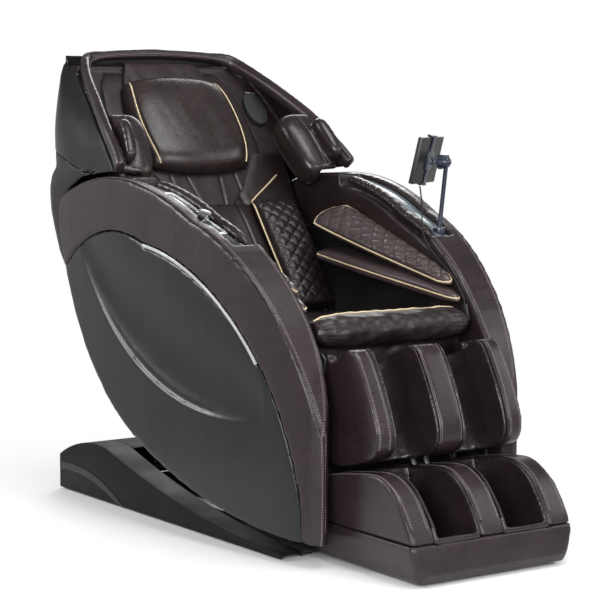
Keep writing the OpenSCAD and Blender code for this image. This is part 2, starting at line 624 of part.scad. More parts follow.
// Round foot on the tray and the leaning post with its ball
module stand_base() color(black) {
  difference() {
    translate([stand_x, stand_y, stand_z - 10]) cylinder(r = foot_r, h = stand_foot_h + 10);
    side_prism(concat(tray_line(tray_drop + 40), flip(tray_line(tray_drop - 0.3))), 0, 500);
  }
  translate([stand_x, stand_y, stand_z + stand_foot_h - 2]) rotate([post_lean, 0, 0]) cylinder(r = post_r, h = post_l + 2 - ball_r + 3);
  translate(ball) sphere(r = ball_r);
}
hinge_off = ball_r + 18;
hinge_r = 8;
hinge_pin = 4;
module on_screen() translate(ball) rotate([0, 0, screen_turn]) children();
module on_tablet() on_screen() translate([0, hinge_off, 0]) rotate([screen_tilt, 0, 0]) children();
// Cup that turns on the ball and carries the cross pin of the tilting holder
module tablet_ball() color(black) on_screen() difference() {
  union() {
    translate([0, -ball_r/3, 0]) rotate([-90, 0, 0]) cylinder(r = ball_r + 6, h = hinge_off - 10 + ball_r/3);
    x_rod([hinge_off, 0], hinge_r, -12, 12);
    x_rod([hinge_off, 0], hinge_pin, -18, 18);
  }
  sphere(r = ball_r + run_gap);
  translate([0, 0, -ball_r - 20]) cylinder(r = ball_r, h = 24);
}
jaw = 5.5;
plate_y = hinge_r + 6;
// Clamp with two ears on the cross pin and jaws above and below the tablet
module tablet_holder() color(black) on_tablet() difference() {
  union() {
    translate([-24, plate_y, -26]) cube([48, 5, 52]);
    for (x = [-18, 12.5]) {
      x_rod([0, 0], hinge_r, x, x + 5.5);
      translate([x, 0, -hinge_r]) cube([5.5, plate_y + 1, 2*hinge_r]);
    }
    translate([-8, plate_y, -tablet_h/2 - gap - jaw]) cube([16, 5, tablet_h + 2*gap + 2*jaw]);
    for (z = [-tablet_h/2 - gap - jaw, tablet_h/2 + gap])
      translate([-12, plate_y, z]) cube([24, tablet_t + 8, jaw]);
  }
  x_rod([0, 0], hinge_pin + run_gap, -30, 30);
}
boot_x = -17;
boot_h = 6.3;
// Tablet computer with the rubber boot where its lead leaves it
module tablet() color(black) on_tablet() {
  translate([-tablet_w/2, plate_y + 5 + gap, -tablet_h/2]) cube([tablet_w, tablet_t, tablet_h]);
  translate([boot_x, plate_y + 5 + gap + tablet_t/2, -tablet_h/2 - boot_h]) cylinder(r = 2*lead_r, h = boot_h + 1);
}
// Half of the gap at the arms' front that the route is laid for
lead_gap = 253;
lead_route = [[284, -147, 915], [288, -146, 896], [292, -146, 866], [288, -152, 826], [273, -176, 792], [265, -210, 756],
  [262, -258, 722], [261, -318, 684], [257, -356, 650], [254, -377, 628], [254, -382, 608]];
// Lead that hangs from the tablet to the coupler on the arm's inner face
module tablet_lead() color(black) {
  path = spline(lead_route, 4);
  translate([gap_front_w/2 - lead_gap, 0, 0]) skin(tube_rings(path, [for (p = path) lead_r], [for (p = path) lead_r], 8));
}
// Oval coupler of the lead, fixed to the inner face of the left arm
module lead_plug() color(black) translate([254 + gap_front_w/2 - lead_gap, -382, 610]) rotate([-14, 0, 0]) difference() {
  translate([0, 0, -44]) linear_extrude(44) polygon([for (a = [0:15:345]) [7*cos(a), 11*sin(a)]]);
  translate([0, 0, -3]) cylinder(r = lead_r + gap/2, h = 10);
}

// ---- back: everything in a frame with z up the pad and -y out of its front ----

back_y = recline_y - 260;
back_z = recline_z + 65;
module on_back() translate([0, back_y, back_z]) rotate([-lean, 0, 0]) children();
function to_back(p) = let (d = p - [back_y, back_z])
  [d[0]*cos(lean) - d[1]*sin(lean), d[0]*sin(lean) + d[1]*cos(lean)];
recline_at = to_back([recline_y, recline_z]);
slab_t = 30;
slab_y = back_t - slab_t;
head_t = 15;
head_y = back_t - head_t;
bar = 24;
bar_y = back_t + 51;
bar_low = 30;
bar_high = back_l - 55;
frame_outline = [[back_t + gap, 8], [back_t + gap, back_l - 6], [bar_y + 10, back_l - 6], [bar_y + 46, back_l - 80],
  [200, 300], recline_at + [10, 30], recline_at + [28, 10], recline_at + [27, -14], recline_at + [8, -28],
  recline_at + [-30, -24], [bar_y + 30, 8]];
// Side plates of the back with the recline bores, and two cross bars
module back_frame() color(steel) on_back() {
  both() difference() {
    side_prism(frame_outline, back_x - 6, back_x);
    x_rod(recline_at, pin_r + run_gap, back_x - 20, back_x + 20);
  }
  for (z = [bar_low, bar_high]) translate([-back_x + 6, bar_y, z]) cube([2*(back_x - 6), 36, bar]);
}
// Hood sections from the bottom up: height under the top, half width at the front as a share of the
// wing's, front, distance from the rear, and how much wider the section grows behind its front
hood_rows = [[801, 0.61, 565, 225, 0], [776, 0.64, 578, 176, 0], [740, 0.69, 602, 116, 0], [700, 0.78, 632, 60, 0],
  [656, 0.86, 654, 30, 0], [600, 0.9, 670, 14, 0], [530, 0.93, 684, 6, 0], [476, 0.95, 696, 3, 0],
  [430, 0.968, 664, 1, 0], [404, 0.982, 620, 0, 0], [378, 0.99, 548, 0, 0], [362, 0.995, 460, 0, 0],
  [352, 1, 344, 0, 0], [297, 0.97, 411, 0, 0.02], [230, 0.935, 494, 0, 0.035], [150, 0.862, 611, 0, 0.055],
  [84, 0.776, 726, 4, 0.085], [56, 0.72, 772, 7, 0.11], [44, 0.69, 784, 9, 0.12]];
turns = [0, 1.5, 8, 20, 32, 45, 58, 70, 81, 90];
// Ring of one section drawn in by a wall, its front moved by shift
function section(r, wall, shift, lift) =
  let (x = r[1]*wing_w - wall, y0 = r[2], y1 = hood_reach - r[3] - wall, z = hood_top - r[0] + lift,
       right = concat([[x, y0 + shift - 0.05]], [for (a = turns) let (t = pow(sin(a), 1/3))
         [x*(1 + r[4]*ease(t/0.6))*pow(cos(a), 1/3), max(mix(y0, y1, t), y0 + shift)]]))
  concat([for (p = right) [p[0], p[1], z]], [for (i = [len(turns)-1:-1:0]) [-right[i][0], right[i][1], z]]);
// Solid inside of the hood: rows from first on, drawn in by a wall, front moved and top lowered
module hood_block(wall, shift = 0, first = 0, cap = 0) {
  top = len(hood_rows) - 1;
  skin([for (i = [first:top]) section(hood_rows[i], wall, shift, i == top ? -cap : (i == 0 ? cap : 0))],
    mirrored = true);
}
skirt_edge = arc3([hood_reach + 20, hood_top - 276], [hood_reach - 130, hood_top - 312], [537, hood_top - 356], 12);
skirt_side = concat(skirt_edge, [[480, hood_top - 362], [300, hood_top - 420], [300, 300], [hood_reach + 20, 300]]);
// Gloss shell of the hood down to the leather skirt
module hood_shell() color(gloss) difference() {
  hood_block(0, 0, 5);
  hood_block(shell_t, -90, 4, shell_t);
  side_prism(skirt_side, -500, 500);
  rim_roll(gap);
}
// Leather-covered lower shell that closes the back behind the seat
module back_skirt() color(leather) intersection() {
  difference() {
    hood_block(0);
    hood_block(shell_t, -90, 0, shell_t);
  }
  translate([0, 0, -gap]) side_prism(skirt_side, -500, 500);
}
// Middle of the rim from one wing tip to the crown: share of the half width of the wings, y and z
rim = spline([for (p = [[0.98724, 322, 962], [0.95918, 368, 1006], [0.92857, 444, 1066], [0.84949, 559, 1144],
  [0.76276, 671, 1209], [0.66837, 752, 1257], [0.55612, 778, 1277], [0.30612, 789, 1286], [0, 791, 1290]])
    [p[0]*wing_w, p[1], p[2]]], 3);
rim_path = concat(rim, [for (i = [len(rim)-2:-1:0]) [-rim[i][0], rim[i][1], rim[i][2]]]);
module rim_roll(grow) skin(tube_rings(rim_path,
  [for (p = rim_path) grow + 15 + 8*ease((260 - abs(p[0]))/80)],
  [for (p = rim_path) grow + 24 - 8*ease((260 - abs(p[0]))/80)], 12));
// Padded roll that runs round the hood from one wing tip over the top to the other
module hood_rim() color(leather) rim_roll(0);
liner_t = 8;
// Leather lining on the inside of the shell, and the padded bulkhead beside the back pad
module hood_liner() color(leather) {
  difference() {
    hood_block(shell_t + gap, 2, 12, shell_t + gap);
    hood_block(shell_t + gap + liner_t, -90, 11, shell_t + gap + liner_t);
    rim_roll(gap);
  }
  difference() {
    intersection() {
      hood_block(shell_t + gap + liner_t + gap, 4, 12, shell_t + 2*gap + liner_t);
      on_back() translate([-400, head_y - 2, 376]) cube([800, head_t + 2, 600]);
    }
    on_back() translate([-back_w/2 - 5 - gap, 0, 0]) cube([back_w + 10 + 2*gap, 100, back_l + gap]);
  }
}
board_x = side_x - 2;
lumbar_w = board_x - spine_w/2;
lumbar_l = 366;
neck_z = 374;
// Board of the back with the centre panel and the upper panel
module back_pad() color(leather) on_back() {
  translate([0, back_t, 0]) rotate([90, 0, 0]) linear_extrude(slab_t) polygon([[-board_x, 0], [board_x, 0],
    [board_x, neck_z], [-board_x, neck_z]]);
  translate([-back_w/2 - 5, head_y, neck_z - eps]) cube([back_w + 10, head_t, back_l - neck_z]);
  translate([0, slab_y, neck_z/2]) rotate([90, 0, 0]) cushion(spine_w, neck_z - 2, slab_y - 16, 16, 8, 10, 0.04);
  translate([0, head_y, (neck_z + back_l)/2]) rotate([90, 0, 0])
    cushion(back_w, back_l - neck_z - 2, 4, 6, 8, 10, 0.1);
}
// Quilted pads on both sides of the centre panel
module lumbar_pads() color(leather) on_back() both()
  translate([spine_w/2 + lumbar_w/2 + 1, slab_y, lumbar_l/2 + 2]) rotate([90, 0, 0])
    cushion(lumbar_w, lumbar_l, 26, slab_y - 4, 8, 20, 0.12, 5);
flap_t = 8;
flap_y = head_y - 2 - gap - flap_t;
flap_z = back_l + 6;
flap_up = 104;
// Leather flap over the head of the pad, from which the pillow hangs
module head_flap() color(leather) on_back() translate([0, flap_y + flap_t, flap_z]) rotate([90, 0, 0])
  linear_extrude(flap_t) polygon([[-pillow_w/2 + 8, 0], [pillow_w/2 - 8, 0], [pillow_w/2 - 20, flap_up],
    [-pillow_w/2 + 20, flap_up]]);
pillow_z = back_l + 62;
pillow_low = 12;
// Pillow that hangs in front of the head panel and flips up about its upper rear edge
module pillow() color(leather) on_back() translate([0, flap_y - gap, pillow_z - pillow_h/2]) rotate([90, 0, 0])
  cushion(pillow_w, pillow_h, pillow_t - pillow_low - 5, pillow_low, 12, 10, 0.25);
shoulder_clear = 8;
// Air pads for the shoulder and upper arm on the inside of one wing
module shoulder_pads() color(leather) difference() {
  on_back() {
    translate([wing_w - 41.5, -60, 512]) rotate([0, -99, 0]) cushion(240, 110, 48, 60, 10, 8, 0.7);
    translate([wing_w - 38.5, -130, 491]) rotate([0, -99, 0]) cushion(145, 62, 18, 16, 8, 6, 0.7);
  }
  translate([in_x(300) - 4, 200, arm_top - 100]) cube([200, 400, 100 + shoulder_clear]);
}
// Speaker plates on the bulkhead beside the head
module speakers() color(black) on_back() both() translate([wing_w - 112, head_y - 2 - gap, 742]) rotate([90, 0, 0])
  linear_extrude(14) polygon([for (a = [0:15:345]) [36*cos(a), 62*sin(a)]]);

// ---- massage unit behind the back pad ----

rail_y = bar_y + 14;
track = 12;
rail_t = 16;
// Two rails between the cross bars
module massage_rails() color(steel) on_back() both()
  translate([track_w/2 - track/2, rail_y - rail_t/2, bar_low + bar]) cube([track, rail_t, bar_high - bar_low - bar]);
unit_z = 140;
unit_h = 100;
unit_y = rail_y + 38;
shoe = 10;
shaft_r = 8;
lug_x = 88;
roller_z = 62;
roller_y = rail_y - 20;
roller_x = 67;
roller_pin = 6;
// Carriage that climbs the rails on two shoes and holds the cross shaft in two lugs
module massage_carriage() color(steel) on_back() difference() {
  union() {
    translate([-track_w/2, unit_y, unit_z - unit_h/2]) cube([track_w, 8, unit_h]);
    both() {
      translate([track_w/2 - track/2 - shoe, rail_y - rail_t/2 - shoe, unit_z - unit_h/2])
        cube([track + 2*shoe, unit_y + 8 - rail_y + rail_t/2 + shoe, unit_h]);
      translate([lug_x, rail_y - 20, unit_z - 20]) cube([8, unit_y - rail_y + 21, 40]);
    }
  }
  both() translate([track_w/2 - track/2 - shoe_gap, rail_y - rail_t/2 - shoe_gap, 0])
    cube([track + 2*shoe_gap, rail_t + 2*shoe_gap, 400]);
  x_rod([rail_y, unit_z], shaft_r + run_gap, -track_w/2, track_w/2);
}
// Two kneading arms on their cross shaft, with the pin of the rollers
module massage_arms() color(black) on_back() {
  x_rod([rail_y, unit_z], shaft_r, -lug_x - 8, lug_x + 8);
  both() {
    hull() {
      x_rod([rail_y, unit_z], 18, 36, 46);
      x_rod([roller_y, unit_z + roller_z], 13, 36, 46);
    }
    x_rod([roller_y, unit_z + roller_z], roller_pin, 30, roller_x + roller_w/2);
  }
}
// Rollers that turn on the pin
module massage_rollers() color("#9a8f80") on_back() both() difference() {
  x_rod([roller_y, unit_z + roller_z], roller_r, roller_x - roller_w/2, roller_x + roller_w/2);
  x_rod([roller_y, unit_z + roller_z], roller_pin + run_gap, 0, 200);
}

// ---- leg rest: the calf rest in a frame at its pivot, with z up the leg ----

module on_leg() translate([0, calf_y, calf_z]) rotate([-leg_lean, 0, 0]) children();
liner_leg = 10;
channel_x = centre_w/2 + channel_w/2;
channel_y = -40;
function closed(p) = let (m = len(p)) [for (i = [0:m-1]) for (j = [0:3])
  let (t = j/4, a = p[(i+m-1)%m], b = p[i], c = p[(i+1)%m], d = p[(i+2)%m])
  0.5 * ((2*b) + (c-a)*t + (2*a - 5*b + 4*c - d)*t*t + (3*b - a - 3*c + d)*t*t*t)];
calf_outline = closed([[-96, -16], [-124, -36], [-130, -90], [-126, -180], [-112, -254], [-76, -288], [-20, -283],
  [50, -264], [100, -240], [110, -190], [104, -120], [60, -30], [20, -8], [-40, -20]]);
module channel(grow) for (s = [-1, 1]) {
  translate([s*channel_x, channel_y, -400]) cylinder(r = channel_w/2 + grow, h = 500);
  translate([s*channel_x - channel_w/2 - grow, channel_y - 300, -400]) cube([channel_w + 2*grow, 300, 500]);
}
// Padded body of the calf rest with its two channels, pivot bores and rod sockets
module calf_shell() color(leather) on_leg() difference() {
  union() {
    side_prism(calf_outline, -calf_w/2, calf_w/2);
    both() x_rod([0, 0], 20, calf_w/2 - 34, calf_w/2);
  }
  channel(liner_leg);
  x_rod([0, 0], pin_r + run_gap, -calf_w, calf_w);
  for (x = [-rod_x, rod_x]) translate([x, rod_y, -400]) cylinder(r = rod_r + run_gap, h = 400 + rod_top + 8);
}
// Air-bag linings of the calf channels
module calf_pads() color(leather) on_leg() difference() {
  intersection() {
    side_prism(calf_outline, -calf_w/2, calf_w/2);
    channel(liner_leg - gap);
  }
  channel(0);
}
rod_x = 20;
rod_y = 50;
rod_top = -80;
rod_foot = -372;
// Rods fixed in the foot rest that slide in the calf rest
module foot_rods() color(steel) on_leg() for (x = [-rod_x, rod_x])
  translate([x, rod_y, rod_foot]) cylinder(r = rod_r, h = rod_top - rod_foot);
seam_z = foot_clear + skirt_h;
foot_rear = -400;
foot_side = concat([[foot_rear + 2, foot_clear + 8], [foot_rear - 6, foot_clear], [-toe_reach + 12, foot_clear]],
  spline([[-toe_reach, foot_clear + 22], [-toe_reach + 12, seam_z], [-toe_reach + 36, 149], [-toe_reach + 76, 203],
    [-toe_reach + 114, foot_h - 7], [-toe_reach + 156, foot_h + foot_clear], [-toe_reach + 215, foot_h + 6],
    [-toe_reach + 361, foot_h - 17], [foot_rear - 6, foot_h - 36]], 4),
  [[foot_rear, foot_h - 48]]);
corner_r = 22;
flare = [[0, 29], [0.35, 12], [0.8, 1], [1, 0], [1.6, 0], [2.6, 7]];
function foot_ring(z, inset) = let (d = lookup(z/seam_z, flare) + inset, x = foot_w/2 - d, y = -toe_reach + inset)
  concat([for (a = [180:15:270]) [-x + corner_r + corner_r*cos(a), y + corner_r + corner_r*sin(a), z]],
    [for (a = [270:15:360]) [x - corner_r + corner_r*cos(a), y + corner_r + corner_r*sin(a), z]],
    [[x, foot_rear + 40, z], [-x, foot_rear + 40, z]]);
well_side = [[-toe_reach + 22, seam_z + 11], [-toe_reach + 35, foot_clear + 62], [-600, foot_clear + 42],
  [-562, seam_z + 9], [-520, 260], [-520, 340], [-toe_reach - 40, 340], [-toe_reach - 40, seam_z + 11]];
// Wells for the feet, their walls and floor moved out by grow
module wells(grow) for (s = [-1, 1]) side_prism([for (i = [0:7]) well_side[i] +
    grow*[i < 2 ? -0.6 : (i < 6 ? 0.9 : 0), i < 4 ? -1 : 0]],
  s*channel_x - channel_w/2 - grow, s*channel_x + channel_w/2 + grow);
module foot_block(inset) intersection() {
  side_prism(foot_side, -foot_w/2, foot_w/2);
  skin([for (z = flare) foot_ring(z[0]*seam_z, inset)]);
}
module foot_sockets() on_leg() for (x = [-rod_x, rod_x])
  translate([x, rod_y, rod_foot]) cylinder(r = rod_r, h = 300);
// Lower tray of the foot rest up to the seam
module foot_tray() color(gloss) difference() {
  intersection() {
    foot_block(0);
    translate([-500, -1000, 0]) cube([1000, 1000, seam_z]);
  }
  wells(liner_leg);
}
// Padded walls of the foot rest above the seam
module foot_walls() color(leather) difference() {
  foot_block(3);
  translate([-500, -1000, 0]) cube([1000, 1000, seam_z + gap/2]);
  wells(liner_leg);
  foot_sockets();
}
// Linings of the foot wells
module foot_linings() color(leather) difference() {
  intersection() {
    foot_block(6);
    wells(liner_leg - gap/2);
  }
  wells(0);
}

// ---- assembly ----

base_plate();
base_rails();
base_side();  // base_side_left
mirror([1, 0, 0]) base_side();  // base_side_right
base_rear_cover();
base_accents();
base_feet();
wheel_axle();
transport_wheels();
power_inlet();
power_switch();
carriage();
seat_sides();
seat_tubes();
seat_pan();
pivot_pins();
seat_cushion();
seat_roll();
both() arm_core();  // arm_cores
arm_band();  // arm_band_left
mirror([1, 0, 0]) arm_band();  // arm_band_right
side_panel();  // side_panel_left
mirror([1, 0, 0]) side_panel();  // side_panel_right
both() light_strip();  // light_strips
arm_tray();
arm_console();
control_knob();
both() arm_bolster();  // arm_bolsters
forearm_top();  // forearm_top_left
mirror([1, 0, 0]) forearm_top();  // forearm_top_right
forearm_low();  // forearm_low_left
mirror([1, 0, 0]) forearm_low();  // forearm_low_right
stand_base();
tablet_ball();
tablet_holder();
tablet();
tablet_lead();
lead_plug();
back_frame();
hood_shell();
back_skirt();
hood_rim();
hood_liner();
back_pad();
lumbar_pads();
head_flap();
pillow();
shoulder_pads();  // shoulder_pad_left
mirror([1, 0, 0]) shoulder_pads();  // shoulder_pad_right
speakers();
massage_rails();
massage_carriage();
massage_arms();
massage_rollers();
calf_shell();
calf_pads();
foot_tray();
foot_walls();
foot_linings();
foot_rods();
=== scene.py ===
import json
import math

import bmesh
import bpy
from mathutils import Matrix, Vector, noise
from mathutils.bvhtree import BVHTree

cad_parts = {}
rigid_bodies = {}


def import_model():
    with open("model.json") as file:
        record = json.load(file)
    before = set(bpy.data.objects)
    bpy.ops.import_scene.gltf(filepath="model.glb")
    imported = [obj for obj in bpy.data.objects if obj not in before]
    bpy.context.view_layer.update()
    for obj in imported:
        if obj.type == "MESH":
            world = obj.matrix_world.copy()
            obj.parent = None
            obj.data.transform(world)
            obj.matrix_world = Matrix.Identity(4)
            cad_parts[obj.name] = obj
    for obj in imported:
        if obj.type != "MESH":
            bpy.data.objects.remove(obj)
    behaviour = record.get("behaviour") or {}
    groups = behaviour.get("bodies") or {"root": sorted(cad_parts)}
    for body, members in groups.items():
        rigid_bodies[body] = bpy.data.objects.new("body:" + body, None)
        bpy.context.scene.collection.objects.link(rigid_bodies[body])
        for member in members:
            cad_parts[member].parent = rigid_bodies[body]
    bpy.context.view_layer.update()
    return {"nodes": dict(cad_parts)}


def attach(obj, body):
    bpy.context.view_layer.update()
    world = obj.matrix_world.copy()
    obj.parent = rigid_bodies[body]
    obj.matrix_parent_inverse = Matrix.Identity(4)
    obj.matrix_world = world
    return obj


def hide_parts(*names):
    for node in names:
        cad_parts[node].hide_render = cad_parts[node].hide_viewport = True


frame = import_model()


# ---- Camera ----
# A long lens before the chair's right arm, a little over its height. The chair faces -Y, and +X is
# the sitter's left.
camera_data = bpy.data.cameras.new("camera")
camera_data.lens = 116.8
camera = bpy.data.objects.new("camera", camera_data)
bpy.context.scene.collection.objects.link(camera)
camera.location = (-2.988, -4.362, 1.125)
aim = Vector((-0.021, -0.013, 0.607)) - camera.location
camera.rotation_euler = aim.to_track_quat("-Z", "Y").to_euler()
bpy.context.scene.camera = camera


# ---- Tablet lead ----
# A thin lead sheathed in soft black PVC, from the boot under the tablet down to an oval coupler on
# the arm's inner face. It hangs free in one slack curve.
def linear(code):
    """An sRGB hex colour as linear red, green, blue and alpha."""
    parts = [int(code[i:i + 2], 16) / 255 for i in (1, 3, 5)]
    return [c / 12.92 if c <= 0.04045 else ((c + 0.055) / 1.055) ** 2.4 for c in parts] + [1.0]


def add(tree, kind, inputs=None, **settings):
    """A new node with its settings; an input takes a value or another node's socket."""
    new = tree.nodes.new("ShaderNode" + kind)
    for key, value in settings.items():
        setattr(new, key, value)
    for key, value in (inputs or {}).items():
        if isinstance(value, bpy.types.NodeSocket):
            tree.links.new(value, new.inputs[key])
        else:
            new.inputs[key].default_value = value
    return new


def moulded(name, dark, light, rough, grain_mm, depth_mm, coat=0.0, metal=0.0, shine=0.35):
    """Moulded or cast surface: a fine texture of one grain size, with soft marks and uneven gloss."""
    m = bpy.data.materials.new(name)
    m.use_nodes = True
    t = m.node_tree
    t.nodes.clear()
    place = add(t, "TexCoord").outputs["Object"]
    marks = add(t, "TexNoise", {"Vector": place, "Scale": 7.0, "Detail": 5.0, "Roughness": 0.62})
    grain = add(t, "TexVoronoi", {"Vector": place, "Scale": 1000 / grain_mm})
    colour = add(t, "Mix", {"Factor": marks.outputs["Fac"], "A": linear(dark), "B": linear(light)},
                 data_type="RGBA")
    gloss = add(t, "MapRange", {"Value": marks.outputs["Fac"], "From Min": 0.35, "From Max": 0.65,
                                "To Min": rough * 0.85, "To Max": rough * 1.15})
    bump = add(t, "Bump", {"Height": grain.outputs["Distance"], "Strength": 0.5,
                           "Distance": depth_mm / 1000})
    shader = add(t, "BsdfPrincipled", {"Base Color": colour.outputs["Result"], "Metallic": metal,
                                       "Roughness": gloss.outputs["Result"], "Coat Weight": coat,
                                       "Coat Roughness": 0.08, "Specular IOR Level": shine,
                                       "Normal": bump.outputs["Normal"]})
    add(t, "OutputMaterial", {"Surface": shader.outputs["BSDF"]})
    return m


lead_rubber = moulded("black_pvc_lead", "#0d0d0f", "#19191c", 0.5, 1.2, 0.05)
lead_points = [(284, -147, 915), (288, -146, 896), (292, -146, 866), (288, -152, 826), (273, -176, 792),
               (265, -210, 756), (262, -258, 722), (261, -318, 684), (257, -356, 650), (254, -377, 628),
               (254, -382, 608)]


def through(points, steps):
    """Points of a smooth curve through the given ones."""
    out = []
    last = len(points) - 1
    for i in range(last):
        a, b, c, d = (Vector(points[max(0, min(last, k))]) for k in (i - 1, i, i + 1, i + 2))
        for j in range(steps):
            s = j / steps
            out.append(0.5 * (2 * b + (c - a) * s + (2 * a - 5 * b + 4 * c - d) * s * s
                              + (3 * b - a - 3 * c + d) * s ** 3))
    return out + [Vector(points[last])]


def new_object(name, data):
    obj = bpy.data.objects.new(name, data)
    bpy.context.scene.collection.objects.link(obj)
    return obj


def baked(obj):
    """Turns an object with live modifiers, or a curve, into a plain mesh."""
    graph = bpy.context.evaluated_depsgraph_get()
    mesh = bpy.data.meshes.new_from_object(obj.evaluated_get(graph), depsgraph=graph)
    if obj.type == "MESH":
        obj.modifiers.clear()
        obj.data = mesh
        return obj
    name = obj.name
    bpy.data.objects.remove(obj)
    return new_object(name, mesh)


def tube(name, points, radius, material, body, closed=False):
    """A round cord, piping or rod through points in metres, with rounded ends."""
    curve = bpy.data.curves.new(name, "CURVE")
    curve.dimensions = "3D"
    curve.bevel_depth = radius
    curve.bevel_resolution = 3
    curve.use_fill_caps = True
    line = curve.splines.new("POLY")
    line.points.add(len(points) - 1)
    for spot, p in zip(line.points, points):
        spot.co = (*p, 1)
    line.use_cyclic_u = closed
    obj = baked(new_object(name, curve))
    obj.data.materials.clear()
    obj.data.materials.append(material)
    for face in obj.data.polygons:
        face.use_smooth = True
    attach(obj, body)
    return obj


lead_radius = 0.002
lead_path = [p / 1000 for p in through(lead_points, 4)]
lead = tube("tablet_lead_cord", lead_path, lead_radius, lead_rubber, "seat")
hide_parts("tablet_lead")


def finish_node(node, material, bevel=0.0):
    """Gives a rigid CAD piece its material and breaks its sharp edges."""
    obj = frame["nodes"][node]
    obj.data.materials.clear()
    obj.data.materials.append(material)
    if bevel:
        weld = obj.modifiers.new("weld", "WELD")
        weld.merge_threshold = 0.00002
        edge = obj.modifiers.new("edge", "BEVEL")
        edge.width = bevel
        edge.segments = 3
        edge.limit_method = "ANGLE"
        edge.angle_limit = math.radians(40)
        edge.harden_normals = False
    for face in obj.data.polygons:
        face.use_smooth = bevel > 0
    return obj


finish_node("lead_plug", lead_rubber, 0.0015)


# ---- Room ----
# A pale seamless floor that turns white away from the chair. A large softbox stands at the camera's
# left, with weaker ones in front, at its right, above and behind. The ceiling is a dark studio's.
def shade(name, build):
    """A material whose one node tree is laid out by build."""
    m = bpy.data.materials.new(name)
    m.use_nodes = True
    m.node_tree.nodes.clear()
    build(m.node_tree)
    return m


def seamless_paper(t):
    place = add(t, "TexCoord").outputs["Object"]
    reach = add(t, "VectorMath", {0: place}, operation="LENGTH").outputs["Value"]
    far = add(t, "MapRange", {"Value": reach, "From Min": 0.8, "From Max": 1.8},
              interpolation_type="SMOOTHSTEP").outputs["Result"]
    paper = add(t, "BsdfPrincipled", {"Base Color": (0.82, 0.82, 0.82, 1), "Roughness": 0.7,
                                      "Specular IOR Level": 0.15}).outputs["BSDF"]
    glow = add(t, "Mix", {"Factor": add(t, "LightPath").outputs["Is Glossy Ray"], "A": 1.0, "B": 0.6})
    white = add(t, "Emission", {"Color": (1, 1, 1, 1),
                                "Strength": glow.outputs["Result"]}).outputs["Emission"]
    both_shades = add(t, "MixShader", {0: far, 1: paper, 2: white}).outputs["Shader"]
    add(t, "OutputMaterial", {"Surface": both_shades})


ground = bmesh.new()
bmesh.ops.create_grid(ground, x_segments=8, y_segments=8, size=9)
floor_mesh = bpy.data.meshes.new("floor")
ground.to_mesh(floor_mesh)
ground.free()
floor_mesh.materials.append(shade("seamless_paper", seamless_paper))
floor = new_object("floor", floor_mesh)

world = bpy.data.worlds.new("studio")
bpy.context.scene.world = world
world.use_nodes = True
world.node_tree.nodes.clear()
sky_tree = world.node_tree
rays = add(sky_tree, "LightPath")
way = add(sky_tree, "SeparateXYZ", {0: add(sky_tree, "TexCoord").outputs["Generated"]}).outputs["Z"]
mirrored_sky = add(sky_tree, "MapRange", {"Value": way, "From Min": 0.0, "From Max": 0.3, "To Min": 0.6,
                                          "To Max": 0.2}).outputs["Result"]
mirrored = add(sky_tree, "Mix", {"Factor": rays.outputs["Is Glossy Ray"], "A": 0.36,
                                 "B": mirrored_sky}).outputs["Result"]
direct = add(sky_tree, "Math", {0: rays.outputs["Is Camera Ray"], 1: rays.outputs["Is Transmission Ray"]},
             operation="MAXIMUM").outputs["Value"]
level = add(sky_tree, "Math", {0: direct, 1: mirrored}, operation="MAXIMUM").outputs["Value"]
sky = add(sky_tree, "Background", {"Color": (1, 1, 1, 1), "Strength": level}).outputs["Background"]
add(sky_tree, "OutputWorld", {"Surface": sky})


chair_middle = Vector((0, 0, 0.6))


def softbox(name, at, size, power):
    lamp = bpy.data.lights.new(name, "AREA")
    lamp.shape = "RECTANGLE"
    lamp.size, lamp.size_y = size
    lamp.energy = power
    obj = new_object(name, lamp)
    obj.location = at
    obj.rotation_euler = (chair_middle - Vector(at)).to_track_quat("-Z", "Y").to_euler()


softbox("key_softbox", (-3.3, -3.2, 1.6), (2.2, 1.6), 165)
softbox("front_softbox", (0.6, -4.6, 1.9), (2.2, 1.8), 90)
softbox("right_softbox", (3.2, -2.2, 2.4), (1.8, 1.8), 35)
softbox("top_softbox", (0.2, -1.2, 3.6), (2.2, 1.8), 75)
softbox("rear_softbox", (1.9, 2.9, 2.6), (2.4, 1.6), 70)
softbox("left_rear_softbox", (-2.7, 1.95, 1.9), (1.2, 1.0), 60)
bpy.context.scene.view_settings.view_transform = "Standard"


# ---- Base ----
# A pan with two guide bars under the chair, gloss graphite covers of moulded ABS on both sides and at
# the rear, each side with a satin arc let in, rubber feet, and two rubber wheels to tip it onto.
covers_abs = moulded("covers_gloss_abs", "#101011", "#18181a", 0.5, 1.6, 0.03, shine=0.1)
accent_abs = moulded("accent_satin_abs", "#2a2b2d", "#353638", 0.45, 1.2, 0.03, shine=0.15)
frame_steel = moulded("frame_painted_steel", "#222426", "#2d3032", 0.45, 1.4, 0.06, coat=0.2)
feet_rubber = moulded("feet_rubber", "#141415", "#1e1e20", 0.75, 1.1, 0.1)
zinc_steel = moulded("zinc_plated_steel", "#5d6062", "#757879", 0.38, 1.5, 0.04, metal=1.0)
black_abs = moulded("black_moulded_abs", "#131315", "#1c1c1e", 0.42, 1.0, 0.05)
rocker_abs = moulded("rocker_red_abs", "#7d1512", "#96201b", 0.3, 1.0, 0.03, coat=0.3)
for node in ("base_side_left", "base_side_right", "base_rear_cover"):
    finish_node(node, covers_abs, 0.0025)
finish_node("base_accents", accent_abs, 0.0015)
finish_node("base_plate", frame_steel, 0.001)
finish_node("base_rails", zinc_steel, 0.0015)
finish_node("base_feet", feet_rubber, 0.0015)
finish_node("wheel_axle", zinc_steel, 0.0008)
finish_node("transport_wheels", feet_rubber, 0.002)
finish_node("power_inlet", black_abs, 0.001)
finish_node("power_switch", rocker_abs, 0.0008)


